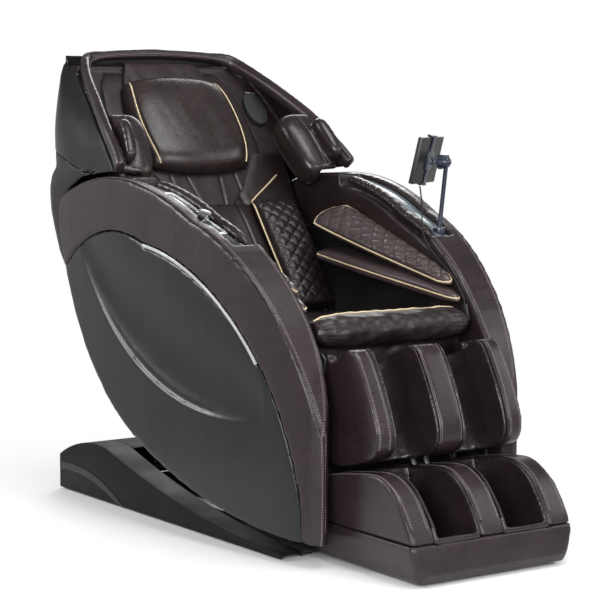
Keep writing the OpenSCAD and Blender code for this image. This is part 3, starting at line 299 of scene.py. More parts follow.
# ---- Carriage and seat frame ----
# A welded steel carriage that slides on the guide bars; steel side plates, cross tubes, pins and a
# plywood board under the cushion, all below or behind the upholstery.
def plywood(t):
    place = add(t, "TexCoord").outputs["Object"]
    long = add(t, "Mapping", {"Vector": place, "Scale": (60, 6, 60)}).outputs["Vector"]
    rings = add(t, "TexNoise", {"Vector": long, "Scale": 1.0, "Detail": 6.0,
                                "Distortion": 0.8}).outputs["Fac"]
    colour = add(t, "Mix", {"Factor": rings, "A": linear("#4a3823"), "B": linear("#6d553a")},
                 data_type="RGBA").outputs["Result"]
    bump = add(t, "Bump", {"Height": rings, "Distance": 0.0004, "Strength": 0.5}).outputs["Normal"]
    add(t, "OutputMaterial", {"Surface": add(t, "BsdfPrincipled", {
        "Base Color": colour, "Roughness": 0.6, "Normal": bump}).outputs["BSDF"]})


finish_node("carriage", frame_steel, 0.0015)
finish_node("seat_sides", frame_steel, 0.001)
finish_node("seat_tubes", frame_steel, 0.001)
finish_node("pivot_pins", zinc_steel, 0.0006)
finish_node("seat_pan", shade("birch_plywood", plywood), 0.001)


# ---- Seat cushion ----
# A foam cushion in dark polyurethane leather, sewn in diamonds between two channels from front to
# rear. It lies on the plywood board between the arms.
def pu_leather(name, dark, light, rough, grain_mm=1.6, coat=0.04):
    """Split leather under polyurethane: soft sheen, a fine pebble, uneven colour, and painted shade that
    darkens seams and folds.
    """
    def build(t):
        place = add(t, "TexCoord").outputs["Object"]
        patch = add(t, "TexNoise", {"Vector": place, "Scale": 9.0, "Detail": 6.0,
                                    "Roughness": 0.6}).outputs["Fac"]
        pebble = add(t, "TexVoronoi", {"Vector": place, "Scale": 1000 / grain_mm}).outputs["Distance"]
        folds = add(t, "TexNoise", {"Vector": place, "Scale": 42.0, "Detail": 4.0,
                                    "Distortion": 1.2}).outputs["Fac"]
        # The attribute read here marks seams and fold troughs, which are painted darker as shade.
        fold = add(t, "Attribute", attribute_name="crease").outputs["Fac"]
        tone = add(t, "MapRange", {"Value": patch, "From Min": 0.3, "From Max": 0.7}).outputs["Result"]
        base = add(t, "Mix", {"Factor": tone, "A": linear(dark), "B": linear(light)},
                   data_type="RGBA").outputs["Result"]
        # Painted shade: seams and folds are mixed towards near-black.
        shaded_in_folds = add(t, "Mix", {"Factor": fold, "A": base, "B": linear("#0b0809")},
                   data_type="RGBA").outputs["Result"]
        uneven = add(t, "MapRange", {"Value": folds, "From Min": 0.3, "From Max": 0.7, "To Min": rough - 0.05,
                                     "To Max": rough + 0.07}).outputs["Result"]
        fine = add(t, "Bump", {"Height": pebble, "Strength": 0.35, "Distance": 0.0003}).outputs["Normal"]
        soft = add(t, "Bump", {"Height": folds, "Strength": 0.35, "Distance": 0.0018,
                               "Normal": fine}).outputs["Normal"]
        add(t, "OutputMaterial", {"Surface": add(t, "BsdfPrincipled", {
            "Base Color": shaded_in_folds, "Roughness": uneven, "Coat Weight": coat, "Coat Roughness": 0.25,
            "Specular IOR Level": 0.33, "Normal": soft}).outputs["BSDF"]})
    return shade(name, build)


espresso = pu_leather("espresso_pu_leather", "#181112", "#241b1c", 0.34)
cream_cord = pu_leather("cream_piping_leather", "#b7a483", "#cdbb9b", 0.45, 1.2)


def solid(name, made, material, body, nodes=(), smooth=True):
    """Makes a piece of a bmesh and puts it on its body, in place of CAD nodes."""
    mesh = bpy.data.meshes.new(name)
    made.to_mesh(mesh)
    made.free()
    mesh.materials.append(material)
    for face in mesh.polygons:
        face.use_smooth = smooth
    obj = new_object(name, mesh)
    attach(obj, body)
    if nodes:
        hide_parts(*nodes)
    return obj


def step(x):
    x = max(0.0, min(1.0, x))
    return x * x * (3 - 2 * x)


def diamonds(x, y, pitch=0.032, depth=0.0035):
    """Rise of diamond quilting at a point, in metres, and the darkness of painted shade in its seams."""
    a = abs(math.sin(math.pi * (x + y) / pitch))
    b = abs(math.sin(math.pi * (x - y) / pitch))
    puff = min(a, b)
    return depth * (puff ** 0.45 - 1), max(0.0, 1 - puff / 0.2) ** 2


def cushion(name, w, d, top, low, place, material, body, nodes=(), cells=(60, 60), rounding=0.35, taper=0.0,
            rule=None, bulge=0.03):
    """A crowned pad: w by d, its crown top over the seam, drawn in to its base low under the seam."""
    made = bmesh.new()
    bmesh.ops.create_grid(made, x_segments=cells[0], y_segments=cells[1], size=1)
    creases = made.verts.layers.float.new("crease")
    for vert in made.verts:
        u, v = math.sin(math.pi / 2 * vert.co.x), math.sin(math.pi / 2 * vert.co.y)
        x = w / 2 * u * (1 + taper * v) * math.sqrt(1 - rounding * v * v / 2)
        y = d / 2 * v * math.sqrt(1 - rounding * u * u / 2)
        full = math.sqrt(max(0, 1 - abs(u) ** 5)) * math.sqrt(max(0, 1 - abs(v) ** 5))
        # A rule gives the rise of the sewing and the painted shade of its seams and folds.
        rise, dark = rule(x, y, u, v) if rule else (0, 0)
        z = full * (top + rise) + top * 0.12 * (1 - u * u) * (1 - v * v)
        vert.co = (x, y, z)
        vert[creases] = dark
    edges = [e for e in made.edges if e.is_boundary]
    before = 1.0
    for part in (0.2, 0.45, 0.7, 0.9, 1.0):
        grown = bmesh.ops.extrude_edge_only(made, edges=edges)["geom"]
        edges = [g for g in grown if isinstance(g, bmesh.types.BMEdge)]
        scale = 1 + bulge * math.sin(math.pi * part) - 0.06 * part * part
        for vert in (g for g in grown if isinstance(g, bmesh.types.BMVert)):
            vert.co = (vert.co.x * scale / before, vert.co.y * scale / before, -low * part)
        before = scale
    bmesh.ops.holes_fill(made, edges=edges, sides=0)
    bmesh.ops.translate(made, verts=made.verts, vec=(0, 0, low))
    bmesh.ops.transform(made, matrix=place, verts=made.verts)
    bmesh.ops.recalc_face_normals(made, faces=made.faces)
    obj = solid(name, made, material, body, nodes)
    return obj


def seam_ring(w, d, place, rounding=0.35, taper=0.0, grow=0.0, low=0.0):
    """Points round the seam of such a pad."""
    ring, per_side = [], 24
    for side in range(4):
        for i in range(per_side):
            s = math.sin(math.pi / 2 * (2 * i / per_side - 1))
            u, v = ((s, -1), (1, s), (-s, 1), (-1, -s))[side]
            x = (w / 2 + grow) * u * (1 + taper * v) * math.sqrt(1 - rounding * v * v / 2)
            y = (d / 2 + grow) * v * math.sqrt(1 - rounding * u * u / 2)
            ring.append(place @ Vector((x, y, low)))
    return ring


def arm_inner(y):
    """Half the gap between the arms at y, in metres."""
    return 0.253 + 0.077 * (y + 0.532) / 1.198


pan_top = 0.444
seat_w, seat_d, seat_y = 2 * arm_inner(-0.342) - 0.008, 0.5, -0.092


def seat_sewing(x, y, u, v):
    rise, dark = (0, 0)
    if abs(u) < 0.4:
        rise, dark = diamonds(x, y, 0.04)
    channel = math.exp(-((abs(u) - 0.42) / 0.05) ** 2)
    # The second value is painted shade along the diamond seams and in the two channels.
    return rise - 0.012 * channel, max(dark, 0.8 * channel)


cushion("seat_cushion_leather", seat_w, seat_d, 0.066, 0.05, Matrix.Translation((0, seat_y, pan_top)),
        espresso, "seat", ["seat_cushion"], cells=(120, 120), rounding=0.12, rule=seat_sewing)


# ---- Seat roll ----
# A roll of foam and wadding across the front of the seat, its leather gathered into folds by the
# seams at both ends, with cream piping along its top.
def copy_of(*nodes):
    """The CAD solids of these nodes as one merged mesh."""
    made = bmesh.new()
    for node in nodes:
        made.from_mesh(frame["nodes"][node].data)
    bmesh.ops.remove_doubles(made, verts=made.verts, dist=0.00002)
    return made


def reshaped(obj, rule):
    """Moves each point along its normal as rule says, and keeps the painted shade that rule gives it in seams
    and folds.
    """
    mesh = obj.data
    creases = mesh.attributes.new("crease", "FLOAT", "POINT")
    places = []
    for vert in mesh.vertices:
        rise, dark = rule(vert.co, vert.normal)
        places.append(vert.co + vert.normal * rise)
        creases.data[vert.index].value = dark
    for vert, place in zip(mesh.vertices, places):
        vert.co = place
    mesh.update()


def upholstered(name, nodes, material, body, voxel=0.005, passes=8, rule=None):
    """Leather over the form of these CAD solids: rounded by remeshing, then shaped by rule."""
    obj = solid(name, copy_of(*nodes), material, body, nodes)
    skin = obj.modifiers.new("skin", "REMESH")
    skin.mode = "VOXEL"
    skin.voxel_size = voxel
    ease_off = obj.modifiers.new("ease", "SMOOTH")
    ease_off.factor = 0.5
    ease_off.iterations = passes
    baked(obj)
    for face in obj.data.polygons:
        face.use_smooth = True
    if rule:
        reshaped(obj, rule)
    return obj


roll_centre = Vector((0, -0.3919, 0.567))


def gathers(co, normal):
    """Folds that run from the end seams inwards, and long slack wrinkles between them, painted darker as
    shade in their troughs.
    """
    if co.y > -0.345 and co.z < 0.54:
        return 0, 0
    around = math.atan2(co.z - roll_centre.z, co.y - roll_centre.y)
    end = step((abs(co.x) - 0.13) / 0.1)
    pleat = math.sin(26 * around + 2.2 * noise.noise(co * 9))
    slack = noise.noise(Vector((co.x * 9 + 3, co.y * 40 + co.x * 14, co.z * 40 - co.x * 10)))
    fold = 0.0014 * end * pleat + 0.0038 * slack * (1 - 0.4 * end)
    return fold, 0.35 * max(0, -pleat) * end + 0.3 * max(0, -slack)


def surface_of(*objs):
    """A tree for finding the nearest place on these pieces."""
    made = bmesh.new()
    for obj in objs:
        made.from_mesh(obj.data)
    tree = BVHTree.FromBMesh(made)
    made.free()
    return tree


def draped(tree, spots, way, lift=0.0):
    """Where rays from these spots, all in one direction, meet a surface."""
    hits = [tree.ray_cast(Vector(spot), Vector(way)) for spot in spots]
    return [hit[0] + hit[1] * lift for hit in hits if hit[0] is not None]


roll = upholstered("seat_roll_leather", ["seat_roll"], espresso, "seat", voxel=0.0045, passes=10,
                   rule=gathers)
above_roll = [(-0.232 + 0.464 * i / 80, -0.383, 0.7) for i in range(81)]
tube("seat_roll_piping", draped(surface_of(roll), above_roll, (0, 0, -1), 0.001), 0.0024, cream_cord, "seat")


# ---- Arms ----
# Hollow arms: a foam band in leather round the front and top, a lacquered graphite shell with a
# crescent pressed into it on the outside, and a bright strip let in between the two.
panel_abs = moulded("panel_graphite_lacquer", "#171818", "#222422", 0.3, 2.2, 0.02, coat=0.04, shine=0.25)
bright_strip = moulded("satin_chromed_abs", "#dcdee0", "#f0f1f2", 0.3, 2.0, 0.01, metal=1.0)
black_leather = pu_leather("black_lining_leather", "#0d0b0b", "#151112", 0.5)
band_leather = pu_leather("band_pu_leather", "#1f1718", "#2b2122", 0.32, 1.6, 0.05)
arm_front, arm_rear, arm_foot, arm_top = -0.532, 0.666, 0.058, 0.938


def circle_through(a, b, c):
    d = 2 * (a[0] * (b[1] - c[1]) + b[0] * (c[1] - a[1]) + c[0] * (a[1] - b[1]))
    p = [((a[0] ** 2 + a[1] ** 2) * (b[1] - c[1]) + (b[0] ** 2 + b[1] ** 2) * (c[1] - a[1])
          + (c[0] ** 2 + c[1] ** 2) * (a[1] - b[1])) / d,
         ((a[0] ** 2 + a[1] ** 2) * (c[0] - b[0]) + (b[0] ** 2 + b[1] ** 2) * (a[0] - c[0])
          + (c[0] ** 2 + c[1] ** 2) * (b[0] - a[0])) / d]
    return p[0], p[1], math.hypot(a[0] - p[0], a[1] - p[1])


def arc(a, b, c, count):
    """Points of the arc from a over b to c."""
    m = circle_through(a, b, c)
    ta, tc = (math.atan2(p[1] - m[1], p[0] - m[0]) for p in (a, c))
    up = (b[0] - a[0]) * (c[1] - b[1]) - (b[1] - a[1]) * (c[0] - b[0]) > 0
    sweep = (tc - ta) % (2 * math.pi) if up else -((ta - tc) % (2 * math.pi))
    return [(m[0] + m[2] * math.cos(ta + sweep * i / count), m[1] + m[2] * math.sin(ta + sweep * i / count))
            for i in range(count + 1)]


def arm_spot(along, up):
    return arm_front + along * (arm_rear - arm_front), arm_foot + up * (arm_top - arm_foot)


shoulder, front_mid, foot_low = arm_spot(0.394, 0.892), arm_spot(0.0835, 0.582), arm_spot(0, 0)
top_curve = circle_through(arm_spot(0.978, 0.927), arm_spot(0.7195, 1), shoulder)
front_curve = circle_through(shoulder, front_mid, foot_low)
plan_curve = circle_through((0.404, arm_rear), (0.42, 0.2), (0.338, arm_front))


def arm_height(y):
    m = top_curve if y > shoulder[0] else front_curve
    return m[1] + math.sqrt(m[2] ** 2 - (y - m[0]) ** 2)


def arm_outer(y):
    return plan_curve[0] + math.sqrt(plan_curve[2] ** 2 - (y - plan_curve[1]) ** 2)


def nose(y):
    t = min(1, max(0, (arm_front + 0.132 - y) / 0.132))
    return 1 - math.sqrt(1 - t * t)


swoosh = circle_through((0.43, 0.64), (0.135, 0.426), (-0.3, 0.352))
ledge_lead, crescent_depth = 0.012, 0.022


def pressed_crescent(co, normal):
    """The shell dips in above a swept ledge and runs out flat towards the upper edge."""
    if abs(normal.x) < 0.4 or abs(co.x) < arm_outer(co.y) - 0.05 or not -0.36 < co.y < 0.52:
        return 0, 0
    ledge = swoosh[1] - math.sqrt(max(0, swoosh[2] ** 2 - (co.y - swoosh[0]) ** 2))
    above = co.z - ledge
    reach = math.sin(math.pi * (co.y + 0.36) / 0.88) ** 0.7
    if above < -ledge_lead:
        return 0, 0
    t = min(1, (above + ledge_lead) / (0.12 + 0.2 * reach))
    dip = crescent_depth * reach * 6.75 * t * (1 - t) ** 2  # t (1 - t)^2 is 1 / 6.75 at its highest
    return -math.copysign(dip, normal.x * co.x), 0


def pushed_in(co, normal):
    """The lining's outer side lies clear of the crescent pressed into the shell."""
    outward = normal.x * co.x > 0 and abs(normal.x) > 0.4
    return (-0.021 if outward and abs(co.x) > arm_outer(co.y) - 0.05 else 0), 0


for side in ("left", "right"):
    upholstered("side_panel_" + side + "_shell", ["side_panel_" + side], panel_abs, "seat", voxel=0.004,
                passes=22, rule=pressed_crescent)
    upholstered("arm_band_" + side + "_leather", ["arm_band_" + side], band_leather, "seat", voxel=0.005,
                passes=9)
finish_node("light_strips", bright_strip, 0.0008)
upholstered("arm_core_linings", ["arm_cores"], black_leather, "seat", voxel=0.009, passes=3,
            rule=pushed_in)


# ---- Seams of the arms ----
# Bonded nylon thread in double rows of stitches, along the outer edge of the band's top and front
# and along the inner edge of its front.
def nylon_thread(t):
    place = add(t, "TexCoord").outputs["Object"]
    twist = add(t, "TexNoise", {"Vector": place, "Scale": 900.0}).outputs["Fac"]
    colour = add(t, "Mix", {"Factor": twist, "A": linear("#574d4e"), "B": linear("#857a7b")},
                 data_type="RGBA").outputs["Result"]
    add(t, "OutputMaterial", {"Surface": add(t, "BsdfPrincipled", {
        "Base Color": colour, "Roughness": 0.55}).outputs["BSDF"]})


thread = shade("bonded_nylon_thread", nylon_thread)


def walked(points, pitch):
    """Points at even steps along a line, with the line's direction at each."""
    points = [Vector(p) for p in points]
    out, left = [], 0.0
    for a, b in zip(points, points[1:]):
        length = (b - a).length
        at = left
        while at < length:
            out.append((a.lerp(b, at / length), (b - a).normalized()))
            at += pitch
        left = at - length
    return out


def stitched(name, lines, tree, body, pitch=0.0068, length=0.0046, width=0.0012):
    """Rows of short stitches laid on a surface."""
    made = bmesh.new()
    for line in lines:
        for spot, way in walked(line, pitch):
            near, normal, _, gap = tree.find_nearest(spot)
            if near is None or gap > 0.03:
                continue
            across = normal.cross(way)
            if across.length < 0.1:
                continue
            across.normalize()
            along = across.cross(normal)
            turn = Matrix((along, across, normal)).transposed().to_4x4()
            turn.translation = near + normal * width * 0.15
            bmesh.ops.create_cube(made, size=1,
                                  matrix=turn @ Matrix.Diagonal((length, width, width * 0.8, 1)))
    return solid(name, made, thread, body, smooth=False)


band_line = arc(shoulder, front_mid, foot_low, 60)
top_line = arc(arm_spot(0.978, 0.927), arm_spot(0.7195, 1), shoulder, 40)
arm_line = top_line[3:] + band_line[1:-2]
stitch_rows = (0.012, 0.016)
for side, s in (("left", 1), ("right", -1)):
    skin_tree = surface_of(bpy.data.objects["arm_band_" + side + "_leather"])
    outer = [[(s * (arm_outer(y) - 0.028 * nose(y) - inset), y, z) for y, z in arm_line]
             for inset in stitch_rows]
    inner = [[(s * (arm_inner(y) + 0.046 * nose(y) + inset), y, z) for y, z in band_line]
             for inset in stitch_rows]
    stitched("arm_band_" + side + "_stitches", outer + inner, skin_tree, "seat")


# ---- Trays ----
# On the left a slate tray of moulded ABS carries the tablet; on the right the same shape holds a
# bright frame and a rotary knob. Beside each lies a gathered roll of leather.
slate_abs = moulded("slate_moulded_abs", "#566167", "#667178", 0.3, 1.3, 0.04, coat=0.4)
console_abs = moulded("console_black_abs", "#151517", "#202023", 0.24, 1.3, 0.03, coat=0.6)
knob_alloy = moulded("turned_aluminium_knob", "#8f9194", "#b3b5b8", 0.25, 0.9, 0.05, metal=1.0)
finish_node("arm_tray", slate_abs, 0.003)
finish_node("arm_console", console_abs, 0.0025)
finish_node("control_knob", knob_alloy, 0.0015)


def console_spot(y, across):
    """A point just over the console: across runs from 0 at its inner edge to 1 at its outer edge."""
    inner, outer = arm_inner(y) + 0.044, arm_outer(y) - 0.04
    return -1 * (inner + (outer - inner) * across), y, arm_height(y) - 0.014 + 0.001


frame_ring = ([console_spot(-0.13 + i * 0.004, 0.2) for i in range(62)]
              + [console_spot(0.118, a / 10) for a in range(2, 9)]
              + [console_spot(0.118 - i * 0.004, 0.8) for i in range(62)]
              + [console_spot(-0.13, a / 10) for a in range(8, 1, -1)])
tube("console_bright_frame", [Vector(p) for p in frame_ring], 0.0038, bright_strip, "seat", closed=True)


def ruched(co, normal):
    pleat = math.sin(co.y * 2 * math.pi / 0.015 + 3 * noise.noise(co * 30))
    inward = max(0, -normal.x * math.copysign(1, co.x))
    # The second value is painted shade in the troughs of the pleats on the inner side.
    return 0.0012 * pleat * inward - 0.0055, 0.45 * max(0, -pleat) * inward


upholstered("arm_bolster_rolls", ["arm_bolsters"], band_leather, "seat", voxel=0.0035, passes=5,
            rule=ruched)


# ---- Forearm pads ----
# Air pads fixed to the arms' inner faces: the upper one sewn in diamonds and set in cream piping,
# the lower one smooth, with a piped edge, and a slot for the forearm between them.
forearm_leather = pu_leather("forearm_pu_leather", "#3a2f30", "#493e3f", 0.3, 1.6, 0.25)


def forearm_place(root, y, z, pitch, roll, s):
    place = (Matrix.Translation((arm_inner(y) - root, y, z)) @ Matrix.Rotation(math.radians(2), 4, "Z")
             @ Matrix.Rotation(math.radians(pitch), 4, "X") @ Matrix.Rotation(math.radians(-roll), 4, "Y")
             @ Matrix.Translation((-0.044, 0, -0.014)))
    return Matrix.Diagonal((s, 1, 1, 1)) @ place


def forearm_sewing(x, y, u, v):
    return diamonds(x, y, 0.05, 0.006)


def slack(x, y, u, v):
    soft = noise.noise(Vector((x * 22, y * 9, 1.7)))
    # The second value is painted shade in the troughs of the folds.
    return 0.002 * soft, 0.15 * max(0, -soft)


for side, s in (("left", 1), ("right", -1)):
    upper = forearm_place(0.0051, -0.054, 0.766, 16.5, 24, s)
    lower = forearm_place(0.0014, -0.076, 0.675, 9.5, 3, s)
    cushion("forearm_top_" + side + "_leather", 0.088, 0.576, 0.02, 0.014, upper, forearm_leather, "seat",
            ["forearm_top_" + side], cells=(36, 170), rounding=0.4, taper=0.5, rule=forearm_sewing)
    cushion("forearm_low_" + side + "_leather", 0.088, 0.58, 0.02, 0.014, lower, forearm_leather, "seat",
            ["forearm_low_" + side], cells=(30, 90), rounding=0.4, taper=0.5, rule=slack)
    tube("forearm_top_" + side + "_piping", seam_ring(0.088, 0.576, upper, 0.4, 0.5, low=0.014, grow=0.0005),
         0.0024, cream_cord, "seat", closed=True)
    tube("forearm_low_" + side + "_piping", seam_ring(0.088, 0.58, lower, 0.4, 0.5, low=0.014, grow=0.0005),
         0.0022, cream_cord, "seat", closed=True)


# ---- Tablet on its stand ----
# A round foot and a leaning post with a ball, all in navy ABS; on it a cup and a clamp hold a black
# tablet computer with a glass front.
stand_abs = moulded("stand_navy_abs", "#1d2230", "#272d3d", 0.35, 1.1, 0.03, coat=0.3)
screen_glass = moulded("tablet_glass", "#0a0b0d", "#111216", 0.08, 3.0, 0.0, coat=1.0)
finish_node("stand_base", stand_abs, 0.0008)
finish_node("tablet_ball", stand_abs, 0.0006)
finish_node("tablet_holder", stand_abs, 0.0008)
finish_node("tablet", black_abs, 0.003)
ball = Vector((0.338046, -0.194471, 0.979784))
on_tablet = (Matrix.Translation(ball) @ Matrix.Rotation(math.radians(35), 4, "Z")
             @ Matrix.Translation((0, 0.032, 0)) @ Matrix.Rotation(math.radians(13), 4, "X"))
glass = bmesh.new()
bmesh.ops.create_cube(glass, size=1, matrix=Matrix.Diagonal((0.188, 0.0012, 0.116, 1)))
corners = [e for e in glass.edges if abs((e.verts[0].co - e.verts[1].co).y) > 0.001]
bmesh.ops.bevel(glass, geom=corners, offset=0.006, segments=5, profile=0.5, affect="EDGES", material=-1)
# From the tilt hinge: to the clamp's plate, through it, the gap, the tablet and half the glass.
glass_out = 0.014 + 0.005 + 0.0004 + 0.012 + 0.0006
bmesh.ops.transform(glass, matrix=on_tablet @ Matrix.Translation((0, glass_out, 0)), verts=glass.verts)
solid("tablet_screen", glass, screen_glass, "tablet", smooth=False)


# ---- Hood ----
# A deep hood of gloss graphite ABS round the head, over a lower shell covered in leather, with a
# leather lining inside and a padded leather roll along its front edge.
hood_abs = moulded("hood_graphite_abs", "#161817", "#1e201f", 0.28, 2.2, 0.02, coat=0.05, shine=0.22)
skirt_leather = pu_leather("skirt_pu_leather", "#150f10", "#1e1617", 0.42)
lining_leather = pu_leather("hood_lining_leather", "#1a1213", "#251b1c", 0.38)
rim_leather = pu_leather("hood_rim_leather", "#221a1b", "#2f2526", 0.3, 1.6, 0.12)
# Each row: mm below the top, share of the half width, front edge in mm, how far the rear lies in
# in mm, and how much wider the section is behind its front.
hood_rows = [[801, 0.61, 565, 225, 0], [776, 0.64, 578, 176, 0], [740, 0.69, 602, 116, 0],
             [700, 0.78, 632, 60, 0], [656, 0.86, 654, 30, 0], [600, 0.9, 670, 14, 0],
             [530, 0.93, 684, 6, 0], [476, 0.95, 696, 3, 0], [430, 0.968, 664, 1, 0],
             [404, 0.982, 620, 0, 0], [378, 0.99, 548, 0, 0], [362, 0.995, 460, 0, 0],
             [352, 1, 344, 0, 0], [297, 0.97, 411, 0, 0.02], [230, 0.935, 494, 0, 0.035],
             [150, 0.862, 611, 0, 0.055], [84, 0.776, 726, 4, 0.085], [56, 0.72, 772, 7, 0.11],
             [44, 0.69, 784, 9, 0.12]]


def hood_row(z):
    """The hood's section at a height, between the given ones, in millimetres."""
    down = 1306 - z * 1000
    rows = hood_rows
    if down >= rows[0][0]:
        return rows[0]
    for i in range(len(rows) - 1):
        if rows[i + 1][0] <= down <= rows[i][0]:
            t = (rows[i][0] - down) / (rows[i][0] - rows[i + 1][0])
            a, b, c, d = (rows[max(0, min(len(rows) - 1, k))] for k in (i - 1, i, i + 1, i + 2))
            if 10 <= i <= 12:
                return [b[k] + (c[k] - b[k]) * t for k in range(5)]
            return [0.5 * (2 * b[k] + (c[k] - a[k]) * t + (2 * a[k] - 5 * b[k] + 4 * c[k] - d[k]) * t * t
                           + (3 * b[k] - a[k] - 3 * c[k] + d[k]) * t ** 3) for k in range(5)]
    return rows[-1]


def hood_point(turn, z):
    """A point of the hood: turn is -1 at the right front edge, 0 behind and 1 at the left front edge."""
    row = hood_row(z)
    angle = math.pi / 2 * (1 - abs(turn))
    t = math.sin(angle) ** (1 / 3) if angle > 0 else 0
    half = row[1] * 0.392
    front, rear = row[2] / 1000, 0.825 - row[3] / 1000
    x = half * (1 + row[4] * step(t / 0.6)) * max(0, math.cos(angle)) ** (1 / 3)
    return Vector((math.copysign(x, turn), front + (rear - front) * t, z))


def lofted(name, material, body, nodes, cells, place, thick=0.0):
    """A curved sheet laid out by place, with a thickness inwards."""
    made = bmesh.new()
    bmesh.ops.create_grid(made, x_segments=cells[0], y_segments=cells[1], size=1)
    for vert in made.verts:
        vert.co = place(vert.co.x, vert.co.y)
    bmesh.ops.remove_doubles(made, verts=made.verts, dist=0.0001)
    bmesh.ops.recalc_face_normals(made, faces=made.faces)
    obj = solid(name, made, material, body, nodes)
    if thick:
        wall = obj.modifiers.new("wall", "SOLIDIFY")
        wall.thickness = thick
        wall.offset = -1.0
        baked(obj)
    return obj


skirt_curve = circle_through((0.845, 1.03), (0.695, 0.994), (0.537, 0.95))
skirt_bow = 1 if skirt_curve[1] < 0.9 else -1


def skirt_edge(y):
    """Height of the seam between the gloss shell and the leather below it."""
    if y > 0.537:
        m = skirt_curve
        return m[1] + skirt_bow * math.sqrt(max(0, m[2] ** 2 - (y - m[0]) ** 2))
    if y > 0.48:
        return 0.944 + (y - 0.48) / 0.057 * 0.006
    return 0.886 + (y - 0.3) / 0.18 * 0.058


def spread(u):
    """Even steps round the section instead of even steps of its angle."""
    return math.copysign(1 - (1 - abs(u)) ** 2.2, u)


shell_low, shell_top, crown = 0.942, 1.23, 0.05


def shell_spot(u, v):
    turn = spread(u)
    z = 1.0
    for _ in range(12):
        low = max(shell_low, skirt_edge(hood_point(turn, z).y))
        z = low + (shell_top + crown * step(2.5 * (1 - abs(u))) - low) * (v + 1) / 2
    return hood_point(turn, z)


lofted("hood_outer_shell", hood_abs, "back", ["hood_shell"], (180, 90), shell_spot, thick=0.006)
upholstered("hood_skirt_leather", ["back_skirt"], skirt_leather, "back", voxel=0.0055, passes=10)
upholstered("hood_lining", ["hood_liner"], lining_leather, "back", voxel=0.0055, passes=10)


def rolled(co, normal):
    soft = noise.noise(Vector((co.x * 12, co.y * 12, co.z * 12)))
    # The second value is painted shade in the troughs of the soft dents.
    return 0.0015 * soft, 0.1 * max(0, -soft)


rim = upholstered("hood_rim_roll", ["hood_rim"], rim_leather, "back", voxel=0.005, passes=12,
                  rule=rolled)
rim_points = [(387, 322, 962), (376, 368, 1006), (364, 444, 1066), (333, 559, 1144), (299, 671, 1209),
              (262, 752, 1257), (218, 778, 1277), (120, 789, 1286), (0, 791, 1290)]
rim_half = [p / 1000 for p in through(rim_points, 8)]
rim_line = rim_half + [Vector((-p.x, p.y, p.z)) for p in reversed(rim_half[:-1])]


def rim_row(inward, down):
    """The rim's centre line, moved in, forward and down to a row of stitches."""
    return [p + Vector((-math.copysign(inward, p.x) if abs(p.x) > 0.02 else 0, -0.02, down))
            for p in rim_line[3:-3]]


stitched("hood_rim_stitches", [rim_row(0.012, 0.0), rim_row(0.015, -0.004)], surface_of(rim), "back")


# ---- Back pad ----
# A board in black leather carries a smooth centre panel with two long seams, quilted lumbar pads
# with cream piping beside it, a hexagonal head panel in black piping, and soft strips at both sides.
on_back = Matrix.Translation((0, 0.177, 0.57)) @ Matrix.Rotation(math.radians(-38), 4, "X")
face_out = Matrix.Rotation(math.radians(90), 4, "X")
panel_leather = pu_leather("back_panel_leather", "#1a1314", "#261d1e", 0.32, 1.6, 0.08)
black_cord = pu_leather("black_piping_leather", "#0e0d0e", "#171516", 0.4, 1.2)


def back_place(x, y, z):
    return on_back @ Matrix.Translation((x, y, z)) @ face_out


def long_folds(x, y, u, v):
    seam = math.exp(-((abs(x) - 0.046) / 0.0035) ** 2)
    fold = noise.noise(Vector((x * 45, y * 5, 2.3)))
    # The second value is painted shade along the two seams and in the fold troughs.
    return 0.0018 * fold - 0.004 * seam, 0.8 * seam + 0.15 * max(0, -fold)


def lumbar_sewing(x, y, u, v):
    return diamonds(x, y, 0.042, 0.005)


cushion("back_centre_panel", 0.2, 0.372, 0.0225, 0.016, back_place(0, 0.045, 0.187), panel_leather, "back",
        ["back_pad"], cells=(90, 120), rounding=0.04, rule=long_folds)
board = bmesh.new()
bmesh.ops.create_cube(board, size=1, matrix=Matrix.Translation((0, 0.0602, 0.187))
                      @ Matrix.Diagonal((0.48, 0.0295, 0.373, 1)))
bmesh.ops.create_cube(board, size=1, matrix=Matrix.Translation((0, 0.0675, 0.577))
                      @ Matrix.Diagonal((0.41, 0.0145, 0.405, 1)))
bmesh.ops.bevel(board, geom=board.edges[:], offset=0.004, segments=3, profile=0.5, affect="EDGES",
                material=-1)
bmesh.ops.transform(board, matrix=on_back, verts=board.verts)
solid("back_boards_covered", board, black_leather, "back", smooth=False)
board_face = 0.0612
head_outline = [(0.362, 0.03), (0.43, 0.108), (0.5, 0.176), (0.56, 0.224), (0.61, 0.24), (0.75, 0.237),
                (0.83, 0.222), (0.885, 0.19)]


def outline_at(z, rows):
    """Half the width of an outline at a height, between the given rows."""
    for (z0, w0), (z1, w1) in zip(rows, rows[1:]):
        if z <= z1:
            return w0 + (w1 - w0) * max(0, (z - z0) / (z1 - z0))
    return rows[-1][1]


def head_spot(u, v):
    z = 0.362 + 0.523 * (v + 1) / 2
    x = outline_at(z, head_outline) * math.sin(math.pi / 2 * u)
    seam = sum(math.exp(-((abs(x) - 0.036 - 0.16 * max(0, z - 0.37) * k - at) / 0.003) ** 2)
               for at, k in ((0.0, 1), (0.074, 0)))
    soft = noise.noise(Vector((x * 16, z * 9, 4.1)))
    full = math.sqrt(max(0, 1 - abs(u) ** 8)) * math.sqrt(max(0, 1 - abs(v) ** 10))
    return on_back @ Vector((x, board_face - full * (0.0105 + 0.001 * soft - 0.003 * seam), z))


